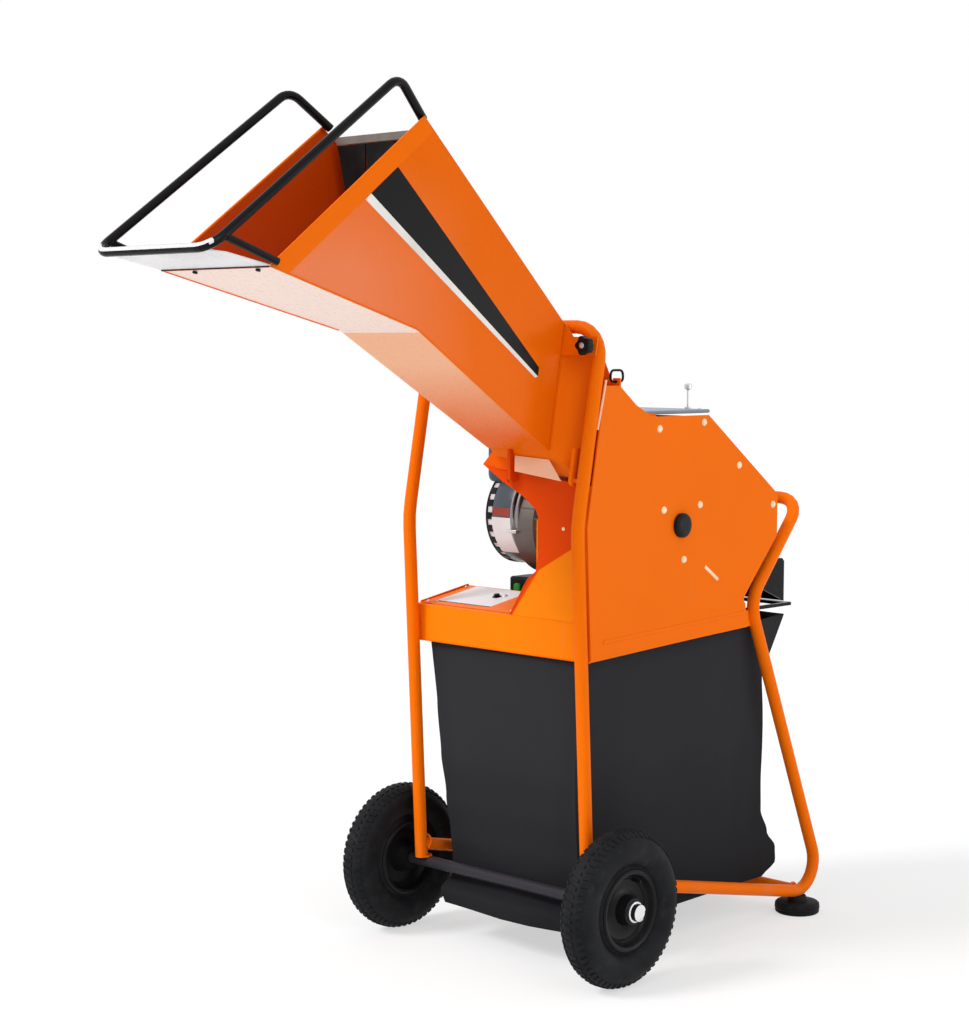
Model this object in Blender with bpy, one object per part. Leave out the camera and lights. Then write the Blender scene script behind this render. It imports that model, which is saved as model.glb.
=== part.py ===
"""Wheeled electric garden shredder with a tilting feed hopper and a collecting bag.

Metres, +Z up. The operator stands at -Y, in front of the hopper. +X is the side with the
large side plate, -X is the motor side. The pieces are drawn about a point on the floor
under the axle, and one empty then carries them so that the origin is the middle of the
footprint.
"""
import math

import bmesh
import bpy
from mathutils import Matrix, Vector

# Clearance that neighbouring pieces keep
GAP = 0.0003
# Stock that the machine is made of
SHEET = 0.002
PLATE = 0.003
CHAMBER_PLATE = 0.004
TUBE_RADIUS = 0.011
BAR_RADIUS = 0.007
TUBE_SIDES = 16

# Tray that carries the machine. Heights above it are given from its top
TRAY_BOTTOM = 0.522
TRAY_BOTTOM_RISE = 0.020
TRAY_HEIGHT = 0.062
TRAY_TOP = TRAY_BOTTOM + TRAY_HEIGHT
TRAY_BACK = 0.401
RIDGE_HEIGHT = 0.021
RIDGE_LENGTH = 0.200
RIDGE_PEAK = 0.130
FRAME_TAB = 0.028
FRAME_TAB_DROP = 0.030
FRAME_TAB_PLATE = 0.004
DECK_PLATE_SETBACK = 0.012
DECK_PLATE_WIDTH = 0.215
DECK_PLATE_THICKNESS = 0.0012

# Wheels, axle and feet
WHEEL_RADIUS = 0.1285
WHEEL_WIDTH = 0.064
WHEEL_SIDE_GAP = 0.018
RIM_RADIUS = 0.067
RIM_WIDTH = 0.046
RIM_WALL = 0.004
RIM_WEB = 0.005
RIM_DISH = 0.012
HUB_RADIUS = 0.021
HUB_LENGTH = 0.058
AXLE_SETBACK = 0.006
AXLE_RADIUS = 0.010
AXLE_CAP_RADIUS = 0.017
AXLE_CAP_LENGTH = 0.016
FOOT_RADIUS = 0.041
FOOT_HEIGHT = 0.020
FOOT_STUD_RADIUS = 0.008

# Front hoop: two legs that bow forward, joined over the top
FRAME_HALF = 0.193
LEG_FOOT = -0.003
LEG_SEAT = 0.001
LEG_BOW = 0.034
LEG_BOW_HEIGHT = TRAY_TOP + 0.156
LEG_BOW_RADIUS = 0.200
HOOP_BACK = 0.024
HOOP_HEIGHT = TRAY_TOP + 0.476
HOOP_RADIUS = 0.055

# Rear frame: floor rails, rear legs and the handle bar, as one bent tube
RAIL_FRONT_HEIGHT = 0.161
RAIL_CORNER = (0.661, 0.020)
RAIL_CORNER_RADIUS = 0.050
WAIST = (0.4235, TRAY_TOP - 0.001)
WAIST_RADIUS = 0.060
HANDLE = (0.572, TRAY_TOP + 0.173)
HANDLE_RADIUS = 0.045

# Body over the tray: side plate, chamber, front sheet of the neck
CHAMBER_LEFT = 0.081
HUB_Y = 0.215
HUB_Z = TRAY_TOP + 0.147
NECK_HEAD_HEIGHT = TRAY_TOP + 0.248
NECK_HEAD_DROP = 0.026
NECK_HEAD_REACH = 0.120
NECK_FOOT_X = 0.024
# Far edge of the neck's front sheet: offset from the inner wall, and height over the hub
NECK_EDGE = (
    (-0.017, -0.085),
    (0.0, -0.072),
    (0.007, -0.034),
    (0.007, 0.015),
    (0.0, 0.031),
    (-0.027, 0.051),
    (-0.078, 0.076),
)
BODY_TOP = TRAY_TOP + 0.330
BODY_SHOULDER_Y = 0.287
BODY_PEAK = TRAY_TOP + 0.382
BODY_PEAK_Y = 0.054
BODY_SLOPE_RUN = 0.042
BODY_SLOPE_DROP = 0.032
BODY_DIP_Y = 0.137
BODY_REAR_Y = 0.486
BODY_REAR_HIGH = TRAY_TOP + 0.187
BODY_REAR_LOW = TRAY_TOP + 0.114
BODY_HEEL_Y = 0.391
BODY_HEEL_Z = TRAY_TOP + 0.010
COVER_INSET = 0.009
COVER_START = (0.006, 0.004)
WALL_NOTCH = 0.036
WALL_NOTCH_RISE = (0.038, 0.014)
WALL_HEEL_INSET = 0.012
OUTLET_MARGIN = 0.030
THROAT_RUN = 0.026
THROAT_FLOOR = 0.040
THROAT_HEADROOM = 0.008

# Rotor and its bearings
SHAFT_RADIUS = 0.0125
ROTOR_RADIUS = 0.098
ROTOR_HUB_RADIUS = 0.030
ROTOR_CLEARANCE = 0.0077
DISC_THICKNESS = 0.006
BLADE_COUNT = 2
BLADE_HEIGHT = 0.018
BLADE_WIDTH = 0.034
BLADE_HEEL = 0.005
BEARING_RADIUS = 0.026
BEARING_WIDTH = 0.011
HOUSING_RADIUS = 0.070
HUB_CAP_RADIUS = 0.0205
HUB_CAP_LENGTH = 0.010
SIEVE_RADIUS = 0.132
SIEVE_THICKNESS = 0.003
SIEVE_SLOT = (0.080, 0.018)
ANVIL_SIZE = 0.012
ANVIL_PLACE = (0.040, 0.004)

# Motor
MOTOR_RADIUS = 0.085
MOTOR_WALL = 0.007
MOTOR_LENGTH = 0.145
MOTOR_BELL = 0.022
COWL_LENGTH = 0.080
COWL_LIP = 0.003
COWL_HOLE = 0.017
COWL_CHAMFER = 0.010
COWL_WALL = 0.0022
COWL_SLOT_PITCH = 0.024
FAN_RADIUS = 0.066
FAN_HUB_RADIUS = 0.024
FAN_DEPTH = 0.020
FAN_PLATE = 0.003
VANE = 0.0024
VANE_COUNT = 8
ARMATURE_RADIUS = 0.048
ARMATURE_INSET = (0.030, 0.020)
STATOR_BORE = 0.050
STATOR_INSET = (0.022, 0.012)

# Control box over the motor
BOX_LEFT = -0.180
BOX_FRONT = 0.140
BOX_BACK = 0.450
BOX_BOTTOM = TRAY_TOP + 0.204
BOX_TOP = TRAY_TOP + 0.334
BOX_LID = 0.007
BOX_WALL = 0.003
BOX_RADIUS = 0.016
RESET_STEM = 0.045
RESET_STEM_RADIUS = 0.002
RESET_KNOB_RADIUS = 0.007
RESET_SETBACK = 0.014
INLET_FROM_SIDE = 0.060
PIN_CIRCLE = 0.011
PIN_RADIUS = 0.002
LID_THICKNESS = 0.005
SOCKET_RADIUS = 0.026
SOCKET_DEPTH = 0.022

# Switch box under the motor
SWITCH_X = -0.112
SWITCH_Y = 0.166
SWITCH_SIZE = (0.064, 0.060, 0.038)
BUTTON_RADIUS = 0.008
BUTTON_TRAVEL = 0.004
BUTTON_PITCH = 0.022
BUTTON_PROUD = 0.005
BUTTON_POCKET = 0.012

# Hopper
MOUTH_HALF = 0.125
MOUTH_TOP = (-0.307, TRAY_TOP + 0.786)
MOUTH_LIP = (-0.609, TRAY_TOP + 0.555)
MOUTH_NARROWING = 0.018
BACK_EDGE_DROP = 0.022
KNEE = (-0.322, TRAY_TOP + 0.469)
KNEE_FAR_X = -0.052
THROAT_LEFT = -0.010
LOCK_HEIGHT = HOOP_HEIGHT - 0.030
LOCK_TAB = (0.016, 0.014)
LOCK_TAB_STEP = 0.020
HOPPER_BASE_TOP = LOCK_HEIGHT + 0.036
HOPPER_BASE_BOTTOM = TRAY_TOP + 0.277
BASE_OFFSET = -0.016
BASE_FRAME = 0.006
NECK_TOP = LOCK_HEIGHT + 0.002
NECK_BOTTOM = TRAY_TOP + 0.231
NECK_SIDE_GAP = 0.008
NECK_DEPTH = 0.031
NECK_PLAY = 0.004
PIVOT_HEIGHT = TRAY_TOP + 0.2305
PIVOT_RADIUS = 0.004
CHEEK = 0.006
HINGE_EYE = 0.009
HINGE_LUG = 0.012
HINGE_FAR_X = 0.035
CHEEK_RISE = 0.030
KNOB_RADIUS = 0.0165
KNOB_LENGTH = 0.020
KNOB_LOBES = 5
KNOB_NECK = 0.005
STUD_RADIUS = 0.004
STUD_PLAY = 0.0015

# Safety bar in front of the mouth
BAR_APEX = (-0.368, TRAY_TOP + 0.839)
BAR_FRONT = (-0.722, TRAY_TOP + 0.577)
BAR_END = (-0.301, TRAY_TOP + 0.784)
BAR_BEND = 0.028
STAY_RADIUS = 0.006
STAY_FOOT = (0.006, 0.006)

# Plate from the mouth's lip to the safety bar
LIP_CORNER = 0.027

# Feed curtain
CLAMP_HEIGHT = 0.012
CURTAIN_LENGTH = 0.118
CURTAIN_FLAPS = 3
CURTAIN_TAPER = 0.030
CURTAIN_THICKNESS = 0.003
CURTAIN_PLAY = 0.001
CURTAIN_FROM_FAR = 0.027
CURTAIN_FROM_NEAR = 0.004
CLAMP_THICKNESS = 0.006
CLAMP_DROP = 0.017

# Rear hood, bag and its rail
HOOD_HINGE = (0.4824, TRAY_TOP + 0.068)
HOOD_BACK = 0.556
HOOD_BOTTOM = TRAY_TOP - 0.012
HOOD_SIDE_GAP = 0.012
HOOD_ROD = 0.005
HOOD_KNUCKLE = 0.009
HOOD_FRONT_RISE = 0.030
RAIL_BACK = 0.586
RAIL_TOP = TRAY_TOP - 0.017
RAIL_SECTION = (0.006, 0.006)
RAIL_SIDE_GAP = 0.017
BAG_SIDE_GAP = 0.002
BAG_FRONT_GAP = 0.006
BAG_AXLE_GAP = 0.003
BAG_BACK = 0.558
BAG_CORNER = 0.024
# Depth under the tray, narrowing on each side, and back edge
BAG_LEVELS = (
    (0.080, 0.014, 0.508),
    (0.180, 0.022, 0.524),
    (0.280, 0.032, 0.532),
    (0.350, 0.038, 0.540),
    (0.425, 0.040, 0.590),
    (0.462, 0.042, 0.530),
)
BAG_CLOTH = 0.003
HANGER_RADIUS = 0.003

# Lifting ring on the side plate
RING_RADIUS = 0.002
RING_SPAN = 0.034
RING_RISE = 0.012
RING_LUG = (0.012, 0.003)
RING_INSET = 0.005
RING_HEIGHT = 0.006

# Colours, linear, with roughness and metallic
ORANGE = ((0.93, 0.22, 0.008), 0.38, 0.0)
ORANGE_DEEP = ((0.80, 0.12, 0.006), 0.42, 0.0)
BLACK_PAINT = ((0.012, 0.012, 0.014), 0.35, 0.0)
RUBBER = ((0.020, 0.020, 0.021), 0.85, 0.0)
NYLON = ((0.035, 0.035, 0.037), 0.55, 0.0)
FABRIC = ((0.030, 0.030, 0.032), 0.95, 0.0)
STEEL = ((0.56, 0.57, 0.58), 0.35, 1.0)
ZINC = ((0.62, 0.64, 0.66), 0.45, 1.0)
CHROME = ((0.75, 0.76, 0.78), 0.12, 1.0)
CAST = ((0.30, 0.30, 0.31), 0.50, 0.8)
COPPER = ((0.55, 0.24, 0.10), 0.40, 0.9)
BLUE_GREY = ((0.10, 0.15, 0.19), 0.50, 0.0)
GREEN = ((0.02, 0.30, 0.03), 0.35, 0.0)
RED = ((0.55, 0.02, 0.015), 0.35, 0.0)

SCENE = bpy.context.scene
AXES = {}


# Materials, objects and axes

def start_empty():
    """Remove what the file opened with."""
    for thing in list(bpy.data.objects):
        bpy.data.objects.remove(thing, do_unlink=True)


def finish_of(name, finish):
    """One Principled material for one piece."""
    colour, roughness, metallic = finish
    material = bpy.data.materials.new(name + "_finish")
    material.use_nodes = True
    shader = material.node_tree.nodes["Principled BSDF"]
    shader.inputs["Base Color"].default_value = (*colour, 1.0)
    shader.inputs["Roughness"].default_value = roughness
    shader.inputs["Metallic"].default_value = metallic
    material.diffuse_color = (*colour, 1.0)
    return material


def add_axis(name, position, parent="machine"):
    """An empty on a joint axis. Position is in the machine's own coordinates."""
    empty = bpy.data.objects.new(name, None)
    SCENE.collection.objects.link(empty)
    place = Vector(position)
    if parent:
        empty.parent = bpy.data.objects[parent]
        empty.location = place - AXES[parent]
    AXES[name] = place
    return empty


def add_piece(name, shape, finish, on="machine", smooth=False):
    """Turn a bmesh in machine coordinates into a named object that hangs on an axis."""
    bmesh.ops.remove_doubles(shape, verts=shape.verts, dist=0.00001)
    bmesh.ops.recalc_face_normals(shape, faces=shape.faces)
    bmesh.ops.translate(shape, verts=shape.verts, vec=-AXES[on])
    mesh = bpy.data.meshes.new(name)
    shape.to_mesh(mesh)
    shape.free()
    mesh.materials.append(finish_of(name, finish))
    if smooth:
        mesh.shade_smooth()
        mesh.set_sharp_from_angle(angle=math.radians(40))
    piece = bpy.data.objects.new(name, mesh)
    piece.parent = bpy.data.objects[on]
    SCENE.collection.objects.link(piece)
    return piece


def combine(piece, name, shape, operation):
    """Join a shape to a piece, or cut it out, with a hidden helper object."""
    helper = add_piece(name, shape, STEEL)
    helper.hide_render = True
    helper.display_type = 'WIRE'
    step = piece.modifiers.new(name, 'BOOLEAN')
    step.operation = operation
    step.object = helper
    step.solver = 'EXACT'


def cut(piece, name, shape):
    combine(piece, name, shape, 'DIFFERENCE')


def join(piece, name, shape):
    combine(piece, name, shape, 'UNION')


def thicken(piece, thickness):
    """Give a sheet its thickness inwards from its outer face."""
    step = piece.modifiers.new("sheet", 'SOLIDIFY')
    step.thickness = thickness
    step.offset = -1.0
    step.use_even_offset = True
    step.use_quality_normals = True


def round_edges(piece, width, segments=2):
    step = piece.modifiers.new("rounding", 'BEVEL')
    step.width = width
    step.segments = segments
    step.limit_method = 'ANGLE'
    step.angle_limit = math.radians(50)


# Shapes

def block(low, high):
    """A box between two corners."""
    shape = bmesh.new()
    bmesh.ops.create_cube(shape, size=1.0)
    low = Vector(low)
    high = Vector(high)
    size = high - low
    bmesh.ops.scale(shape, verts=shape.verts, vec=size)
    bmesh.ops.translate(shape, verts=shape.verts, vec=(low + high) / 2)
    return shape


def slab(outline, low, high, along):
    """Extrude a flat outline. Along 'X' it is (y, z), along 'Y' (x, z), along 'Z' (x, y)."""
    order = {'X': (2, 0, 1), 'Y': (0, 2, 1), 'Z': (0, 1, 2)}[along]
    shape = bmesh.new()
    corners = []
    for a, b in outline:
        parts = (a, b, low)
        corners.append(shape.verts.new([parts[k] for k in order]))
    face = shape.faces.new(corners)
    grown = bmesh.ops.extrude_face_region(shape, geom=[face])
    moved = [v for v in grown["geom"] if isinstance(v, bmesh.types.BMVert)]
    step = Vector([(0, 0, high - low)[k] for k in order])
    bmesh.ops.translate(shape, verts=moved, vec=step)
    return shape


def drum(radius, low, high, centre, segments=32, along='X'):
    """A plain cylinder along an axis through (a, b), the two other coordinates in order."""
    shape = bmesh.new()
    bmesh.ops.create_cone(shape, cap_ends=True, segments=segments, radius1=radius,
                          radius2=radius, depth=high - low)
    turn = {'X': Matrix.Rotation(math.pi / 2, 4, 'Y'),
            'Y': Matrix.Rotation(-math.pi / 2, 4, 'X'),
            'Z': Matrix.Identity(4)}[along]
    bmesh.ops.transform(shape, matrix=turn, verts=shape.verts)
    middle = (low + high) / 2
    a, b = centre
    place = {'X': (middle, a, b), 'Y': (a, middle, b), 'Z': (a, b, middle)}[along]
    bmesh.ops.translate(shape, verts=shape.verts, vec=place)
    return shape


def turned(profile, centre, segments=32, along='X'):
    """Spin a closed profile of (distance along the axis, radius) round the axis."""
    shape = bmesh.new()
    ring = [shape.verts.new((along_axis, radius, 0.0)) for along_axis, radius in profile]
    edges = [shape.edges.new((ring[k - 1], ring[k])) for k in range(len(ring))
             if profile[k - 1][1] > 0.0 or profile[k][1] > 0.0]
    bmesh.ops.spin(shape, geom=ring + edges, cent=(0, 0, 0), axis=(1, 0, 0),
                   angle=math.tau, steps=segments, use_merge=True)
    bmesh.ops.remove_doubles(shape, verts=shape.verts, dist=0.00001)
    turn = {'X': Matrix.Identity(4),
            'Y': Matrix.Rotation(math.pi / 2, 4, 'Z'),
            'Z': Matrix.Rotation(-math.pi / 2, 4, 'Y')}[along]
    bmesh.ops.transform(shape, matrix=turn, verts=shape.verts)
    a, b = centre
    place = {'X': (0, a, b), 'Y': (a, 0, b), 'Z': (a, b, 0)}[along]
    bmesh.ops.translate(shape, verts=shape.verts, vec=place)
    return shape


def bent_path(corners, radii, step=math.radians(15)):
    """Points of a line through the corners, each inner corner rounded to its radius."""
    corners = [Vector(c) for c in corners]
    points = [corners[0]]
    for k in range(1, len(corners) - 1):
        back = (corners[k - 1] - corners[k]).normalized()
        ahead = (corners[k + 1] - corners[k]).normalized()
        turn = math.pi - back.angle(ahead)
        if turn < 0.01:
            continue
        reach = radii[k - 1] * math.tan(turn / 2)
        middle = (back + ahead).normalized()
        centre = corners[k] + middle * (radii[k - 1] / math.cos(turn / 2))
        first = corners[k] + back * reach - centre
        axis = back.cross(ahead).normalized()
        count = max(2, math.ceil(turn / step))
        for n in range(count + 1):
            swing = Matrix.Rotation(-turn * n / count, 3, axis)
            points.append(centre + swing @ first)
    points.append(corners[-1])
    return points


def rod(points, radius, sides=TUBE_SIDES, closed=False):
    """Sweep a round section along points, with flat ends."""
    shape = bmesh.new()
    count = len(points)
    rings = []
    side = None
    for k in range(count):
        if closed:
            heading = points[(k + 1) % count] - points[k - 1]
        else:
            heading = points[min(k + 1, count - 1)] - points[max(k - 1, 0)]
        heading = heading.normalized()
        if side is None:
            seed = Vector((0, 0, 1)) if abs(heading.z) < 0.8 else Vector((1, 0, 0))
            side = seed.cross(heading)
        side = (side - heading * side.dot(heading)).normalized()
        up = heading.cross(side)
        ring = []
        for n in range(sides):
            turn = math.tau * (n + 0.5) / sides
            reach = side * math.cos(turn) + up * math.sin(turn)
            ring.append(shape.verts.new(points[k] + reach * radius))
        rings.append(ring)
    last = count if closed else count - 1
    for k in range(last):
        here = rings[k]
        there = rings[(k + 1) % count]
        for n in range(sides):
            m = (n + 1) % sides
            shape.faces.new((here[n], here[m], there[m], there[n]))
    if not closed:
        shape.faces.new(rings[0])
        shape.faces.new(rings[-1])
    return shape


def funnel(rings):
    """Walls through rings that have the same number of corners, open at both ends."""
    shape = bmesh.new()
    loops = [[shape.verts.new(corner) for corner in ring] for ring in rings]
    for here, there in zip(loops, loops[1:]):
        for n in range(len(here)):
            m = (n + 1) % len(here)
            shape.faces.new((here[n], here[m], there[m], there[n]))
    return shape


def plate_between(first, second):
    """A plate between two rings of corners that match."""
    shape = bmesh.new()
    rings = [[shape.verts.new(corner) for corner in ring] for ring in (first, second)]
    shape.faces.new(rings[0])
    shape.faces.new(rings[1][::-1])
    for n in range(len(first)):
        m = (n + 1) % len(first)
        shape.faces.new((rings[0][n], rings[1][n], rings[1][m], rings[0][m]))
    return shape


def arc(centre, radius, start, end, count):
    """Points of an arc in a plane, angles in degrees."""
    points = []
    for k in range(count + 1):
        turn = math.radians(start + (end - start) * k / count)
        points.append((centre[0] + radius * math.cos(turn), centre[1] + radius * math.sin(turn)))
    return points


# Places that many pieces share

def leg_y(height):
    """Y of the middle of the front legs at a height."""
    if height < LEG_BOW_HEIGHT:
        share = (height - WHEEL_RADIUS) / (LEG_BOW_HEIGHT - WHEEL_RADIUS)
        return LEG_FOOT - (LEG_BOW + LEG_FOOT) * share
    share = (height - LEG_BOW_HEIGHT) / (HOOP_HEIGHT - LEG_BOW_HEIGHT)
    return -LEG_BOW + (LEG_BOW + HOOP_BACK) * share


def lean(height, offset):
    """Y of a plane that leans with the upper legs, offset from their middle."""
    share = (height - LEG_BOW_HEIGHT) / (HOOP_HEIGHT - LEG_BOW_HEIGHT)
    return -LEG_BOW + (LEG_BOW + HOOP_BACK) * share + offset


def leg_back(height):
    return leg_y(height) + TUBE_RADIUS + GAP


AXLE_CENTRE = (AXLE_SETBACK, WHEEL_RADIUS)
WHEEL_TRACK = 2 * (FRAME_HALF + TUBE_RADIUS + WHEEL_SIDE_GAP) + WHEEL_WIDTH
INSIDE_HALF = FRAME_HALF - TUBE_RADIUS
BAG_TOP_HALF = INSIDE_HALF - BAG_SIDE_GAP
HOOD_HALF = INSIDE_HALF - HOOD_SIDE_GAP
RAIL_HALF = INSIDE_HALF - RAIL_SIDE_GAP
PLATE_OUT = FRAME_HALF + TUBE_RADIUS
PLATE_IN = PLATE_OUT - PLATE
WALL_IN = PLATE_IN - GAP
CHAMBER_RIGHT = CHAMBER_LEFT + CHAMBER_PLATE
CHAMBER_IN = CHAMBER_RIGHT + GAP
ROTOR_LENGTH = WALL_IN - CHAMBER_IN - 2 * (BEARING_WIDTH + ROTOR_CLEARANCE)
BODY_FRONT = max(leg_back(TRAY_BOTTOM), leg_back(NECK_HEAD_HEIGHT - NECK_HEAD_DROP))
HUB = (HUB_Y, HUB_Z)
PIVOT_Y = lean(PIVOT_HEIGHT, 0.0)
BASE_BACK = BASE_OFFSET + PLATE + GAP
NECK_BACK = BASE_BACK + NECK_DEPTH
NECK_RIGHT = INSIDE_HALF - CHEEK - NECK_SIDE_GAP
RING_X = PLATE_IN - RING_INSET
RING_Y = BODY_PEAK_Y + RING_LUG[1] / 2


def tray_bottom(y):
    """The tray's lower edge rises towards the back."""
    share = (y - BODY_FRONT) / (TRAY_BACK - BODY_FRONT)
    return TRAY_BOTTOM + TRAY_BOTTOM_RISE * share


def body_outline(inset=0.0):
    """Upper and rear edge of the chamber in (y, z), from the front peak round to the heel."""
    return [
        (BODY_PEAK_Y, BODY_PEAK - inset),
        (BODY_PEAK_Y + BODY_SLOPE_RUN - inset * 0.4, BODY_PEAK - BODY_SLOPE_DROP - inset),
        (BODY_DIP_Y - inset * 0.2, BODY_TOP - inset),
        (BODY_SHOULDER_Y - inset * 0.3, BODY_TOP - inset),
        (BODY_REAR_Y - inset, BODY_REAR_HIGH - inset * 0.4),
        (BODY_REAR_Y - inset, BODY_REAR_LOW + inset * 0.4),
        (BODY_HEEL_Y - inset, BODY_HEEL_Z + inset * 0.4),
    ]


# Frame

def hoop_points():
    half = FRAME_HALF
    seat = WHEEL_RADIUS + AXLE_RADIUS - LEG_SEAT
    foot = (leg_y(seat), seat)
    side = [foot, (-LEG_BOW, LEG_BOW_HEIGHT), (HOOP_BACK, HOOP_HEIGHT)]
    corners = [(half, y, z) for y, z in side] + [(-half, y, z) for y, z in reversed(side)]
    radii = [LEG_BOW_RADIUS, HOOP_RADIUS, HOOP_RADIUS, LEG_BOW_RADIUS]
    return bent_path(corners, radii)


def rear_points():
    half = FRAME_HALF
    start = (leg_y(RAIL_FRONT_HEIGHT), RAIL_FRONT_HEIGHT)
    side = [start, RAIL_CORNER, WAIST, HANDLE]
    corners = [(half, y, z) for y, z in side] + [(-half, y, z) for y, z in reversed(side)]
    radii = [RAIL_CORNER_RADIUS, WAIST_RADIUS, HANDLE_RADIUS]
    return bent_path(corners, radii + radii[::-1])


def lowest_rail():
    """(y, z) of the lowest point of the rear frame's middle line."""
    low = min(rear_points(), key=lambda p: p.z)
    return low.y, low.z


def front_hoop():
    hoop = add_piece("front_hoop", rod(hoop_points(), TUBE_RADIUS), ORANGE, smooth=True)
    axle_hole = drum(AXLE_RADIUS + GAP, -FRAME_HALF * 1.5, FRAME_HALF * 1.5, AXLE_CENTRE)
    cut(hoop, "axle_saddle", axle_hole)
    pin_hole = drum(PIVOT_RADIUS + GAP, NECK_RIGHT, FRAME_HALF + GAP,
                    (PIVOT_Y, PIVOT_HEIGHT), segments=12)
    cut(hoop, "pivot_hole", pin_hole)
    y = lean(LOCK_HEIGHT, 0.0)
    stud_hole = drum(STUD_RADIUS + STUD_PLAY, y - 2 * TUBE_RADIUS, y + 2 * TUBE_RADIUS,
                     (lock_x(), LOCK_HEIGHT), 16, 'Y')
    cut(hoop, "lock_hole", stud_hole)
    return hoop


def rear_frame():
    frame = add_piece("rear_frame", rod(rear_points(), TUBE_RADIUS), ORANGE, smooth=True)
    cut(frame, "leg_cope", rod(hoop_points(), TUBE_RADIUS + GAP))
    return frame


def cross_tube():
    y, z = lowest_rail()
    tube = drum(TUBE_RADIUS, -FRAME_HALF, FRAME_HALF, (y, z), segments=TUBE_SIDES)
    piece = add_piece("rear_cross_tube", tube, ORANGE, smooth=True)
    cut(piece, "rail_cope", rod(rear_points(), TUBE_RADIUS + GAP))
    return piece


def feet():
    y, z = lowest_rail()
    edge = FOOT_HEIGHT * 0.2
    profile = [(0.0, 0.0), (0.0, FOOT_RADIUS - edge), (edge, FOOT_RADIUS),
               (FOOT_HEIGHT - edge, FOOT_RADIUS), (FOOT_HEIGHT, FOOT_RADIUS - edge),
               (FOOT_HEIGHT, FOOT_STUD_RADIUS), (z, FOOT_STUD_RADIUS), (z, 0.0)]
    for side, x in (("near", FRAME_HALF), ("far", -FRAME_HALF)):
        foot = add_piece("foot_" + side, turned(profile, (x, y), 28, 'Z'), RUBBER, smooth=True)
        cut(foot, "foot_cope_" + side, rod(rear_points(), TUBE_RADIUS + GAP))
        cross = drum(TUBE_RADIUS + GAP, -FRAME_HALF, FRAME_HALF, (y, z), segments=TUBE_SIDES)
        cut(foot, "cross_cope_" + side, cross)


# Wheels

def axle():
    half = WHEEL_TRACK / 2 + HUB_LENGTH / 2 + AXLE_CAP_LENGTH * 0.5
    shape = drum(AXLE_RADIUS, -half, half, AXLE_CENTRE, segments=24)
    return add_piece("axle", shape, BLACK_PAINT, smooth=True)


def tyre_profile():
    """Pneumatic tyre: an oval section with its beads in the rim."""
    base = RIM_RADIUS + GAP
    middle = (WHEEL_RADIUS + base) / 2
    tall = (WHEEL_RADIUS - base) / 2
    points = []
    for x, y in arc((0.0, 0.0), 1.0, -50, 230, 14):
        points.append((x * WHEEL_WIDTH / 2, middle + y * tall))
    bead = RIM_WIDTH / 2
    return [(bead, base)] + points + [(-bead, base)]


def rim_profile():
    """Moulded rim: hub, dished web and a channel for the beads."""
    bore = AXLE_RADIUS + GAP
    hub = HUB_LENGTH / 2
    half = RIM_WIDTH / 2
    inner = RIM_RADIUS - RIM_WALL
    web = RIM_WEB
    foot = HUB_RADIUS + RIM_WALL
    dish = inner - RIM_DISH
    return [(hub, bore), (hub, HUB_RADIUS), (web, foot), (web, dish), (half, inner),
            (half, RIM_RADIUS), (-half, RIM_RADIUS), (-half, inner), (-web, dish),
            (-web, foot), (-hub, HUB_RADIUS), (-hub, bore)]


def wheels():
    for side, sign in (("near", 1), ("far", -1)):
        x = sign * WHEEL_TRACK / 2
        centre = AXLE_CENTRE
        add_axis("wheel_axis_" + side, (x, *AXLE_CENTRE))
        parts = (("tyre_", tyre_profile(), RUBBER, 40), ("rim_", rim_profile(), NYLON, 32))
        for name, profile, finish, count in parts:
            shape = turned([(x + a, r) for a, r in profile], centre, count)
            add_piece(name + side, shape, finish, on="wheel_axis_" + side, smooth=True)
        axle_cap(side, sign)


def axle_cap(side, sign):
    """Chromed cap nut that keeps the wheel on the axle."""
    start = WHEEL_TRACK / 2 + HUB_LENGTH / 2 + GAP
    end = WHEEL_TRACK / 2 + HUB_LENGTH / 2 + AXLE_CAP_LENGTH * 0.5 + GAP
    top = start + AXLE_CAP_LENGTH
    bore = AXLE_RADIUS + GAP
    profile = [(start, bore), (start, AXLE_CAP_RADIUS), (start + 0.004, AXLE_CAP_RADIUS),
               (start + 0.005, AXLE_CAP_RADIUS * 0.86), (top - 0.003, AXLE_CAP_RADIUS * 0.80),
               (top, AXLE_CAP_RADIUS * 0.45), (top, 0.0), (end, 0.0), (end, bore)]
    shape = turned([(sign * a, r) for a, r in profile], AXLE_CENTRE, 24)
    add_piece("axle_cap_" + side, shape, CHROME, smooth=True)


# Body

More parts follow.
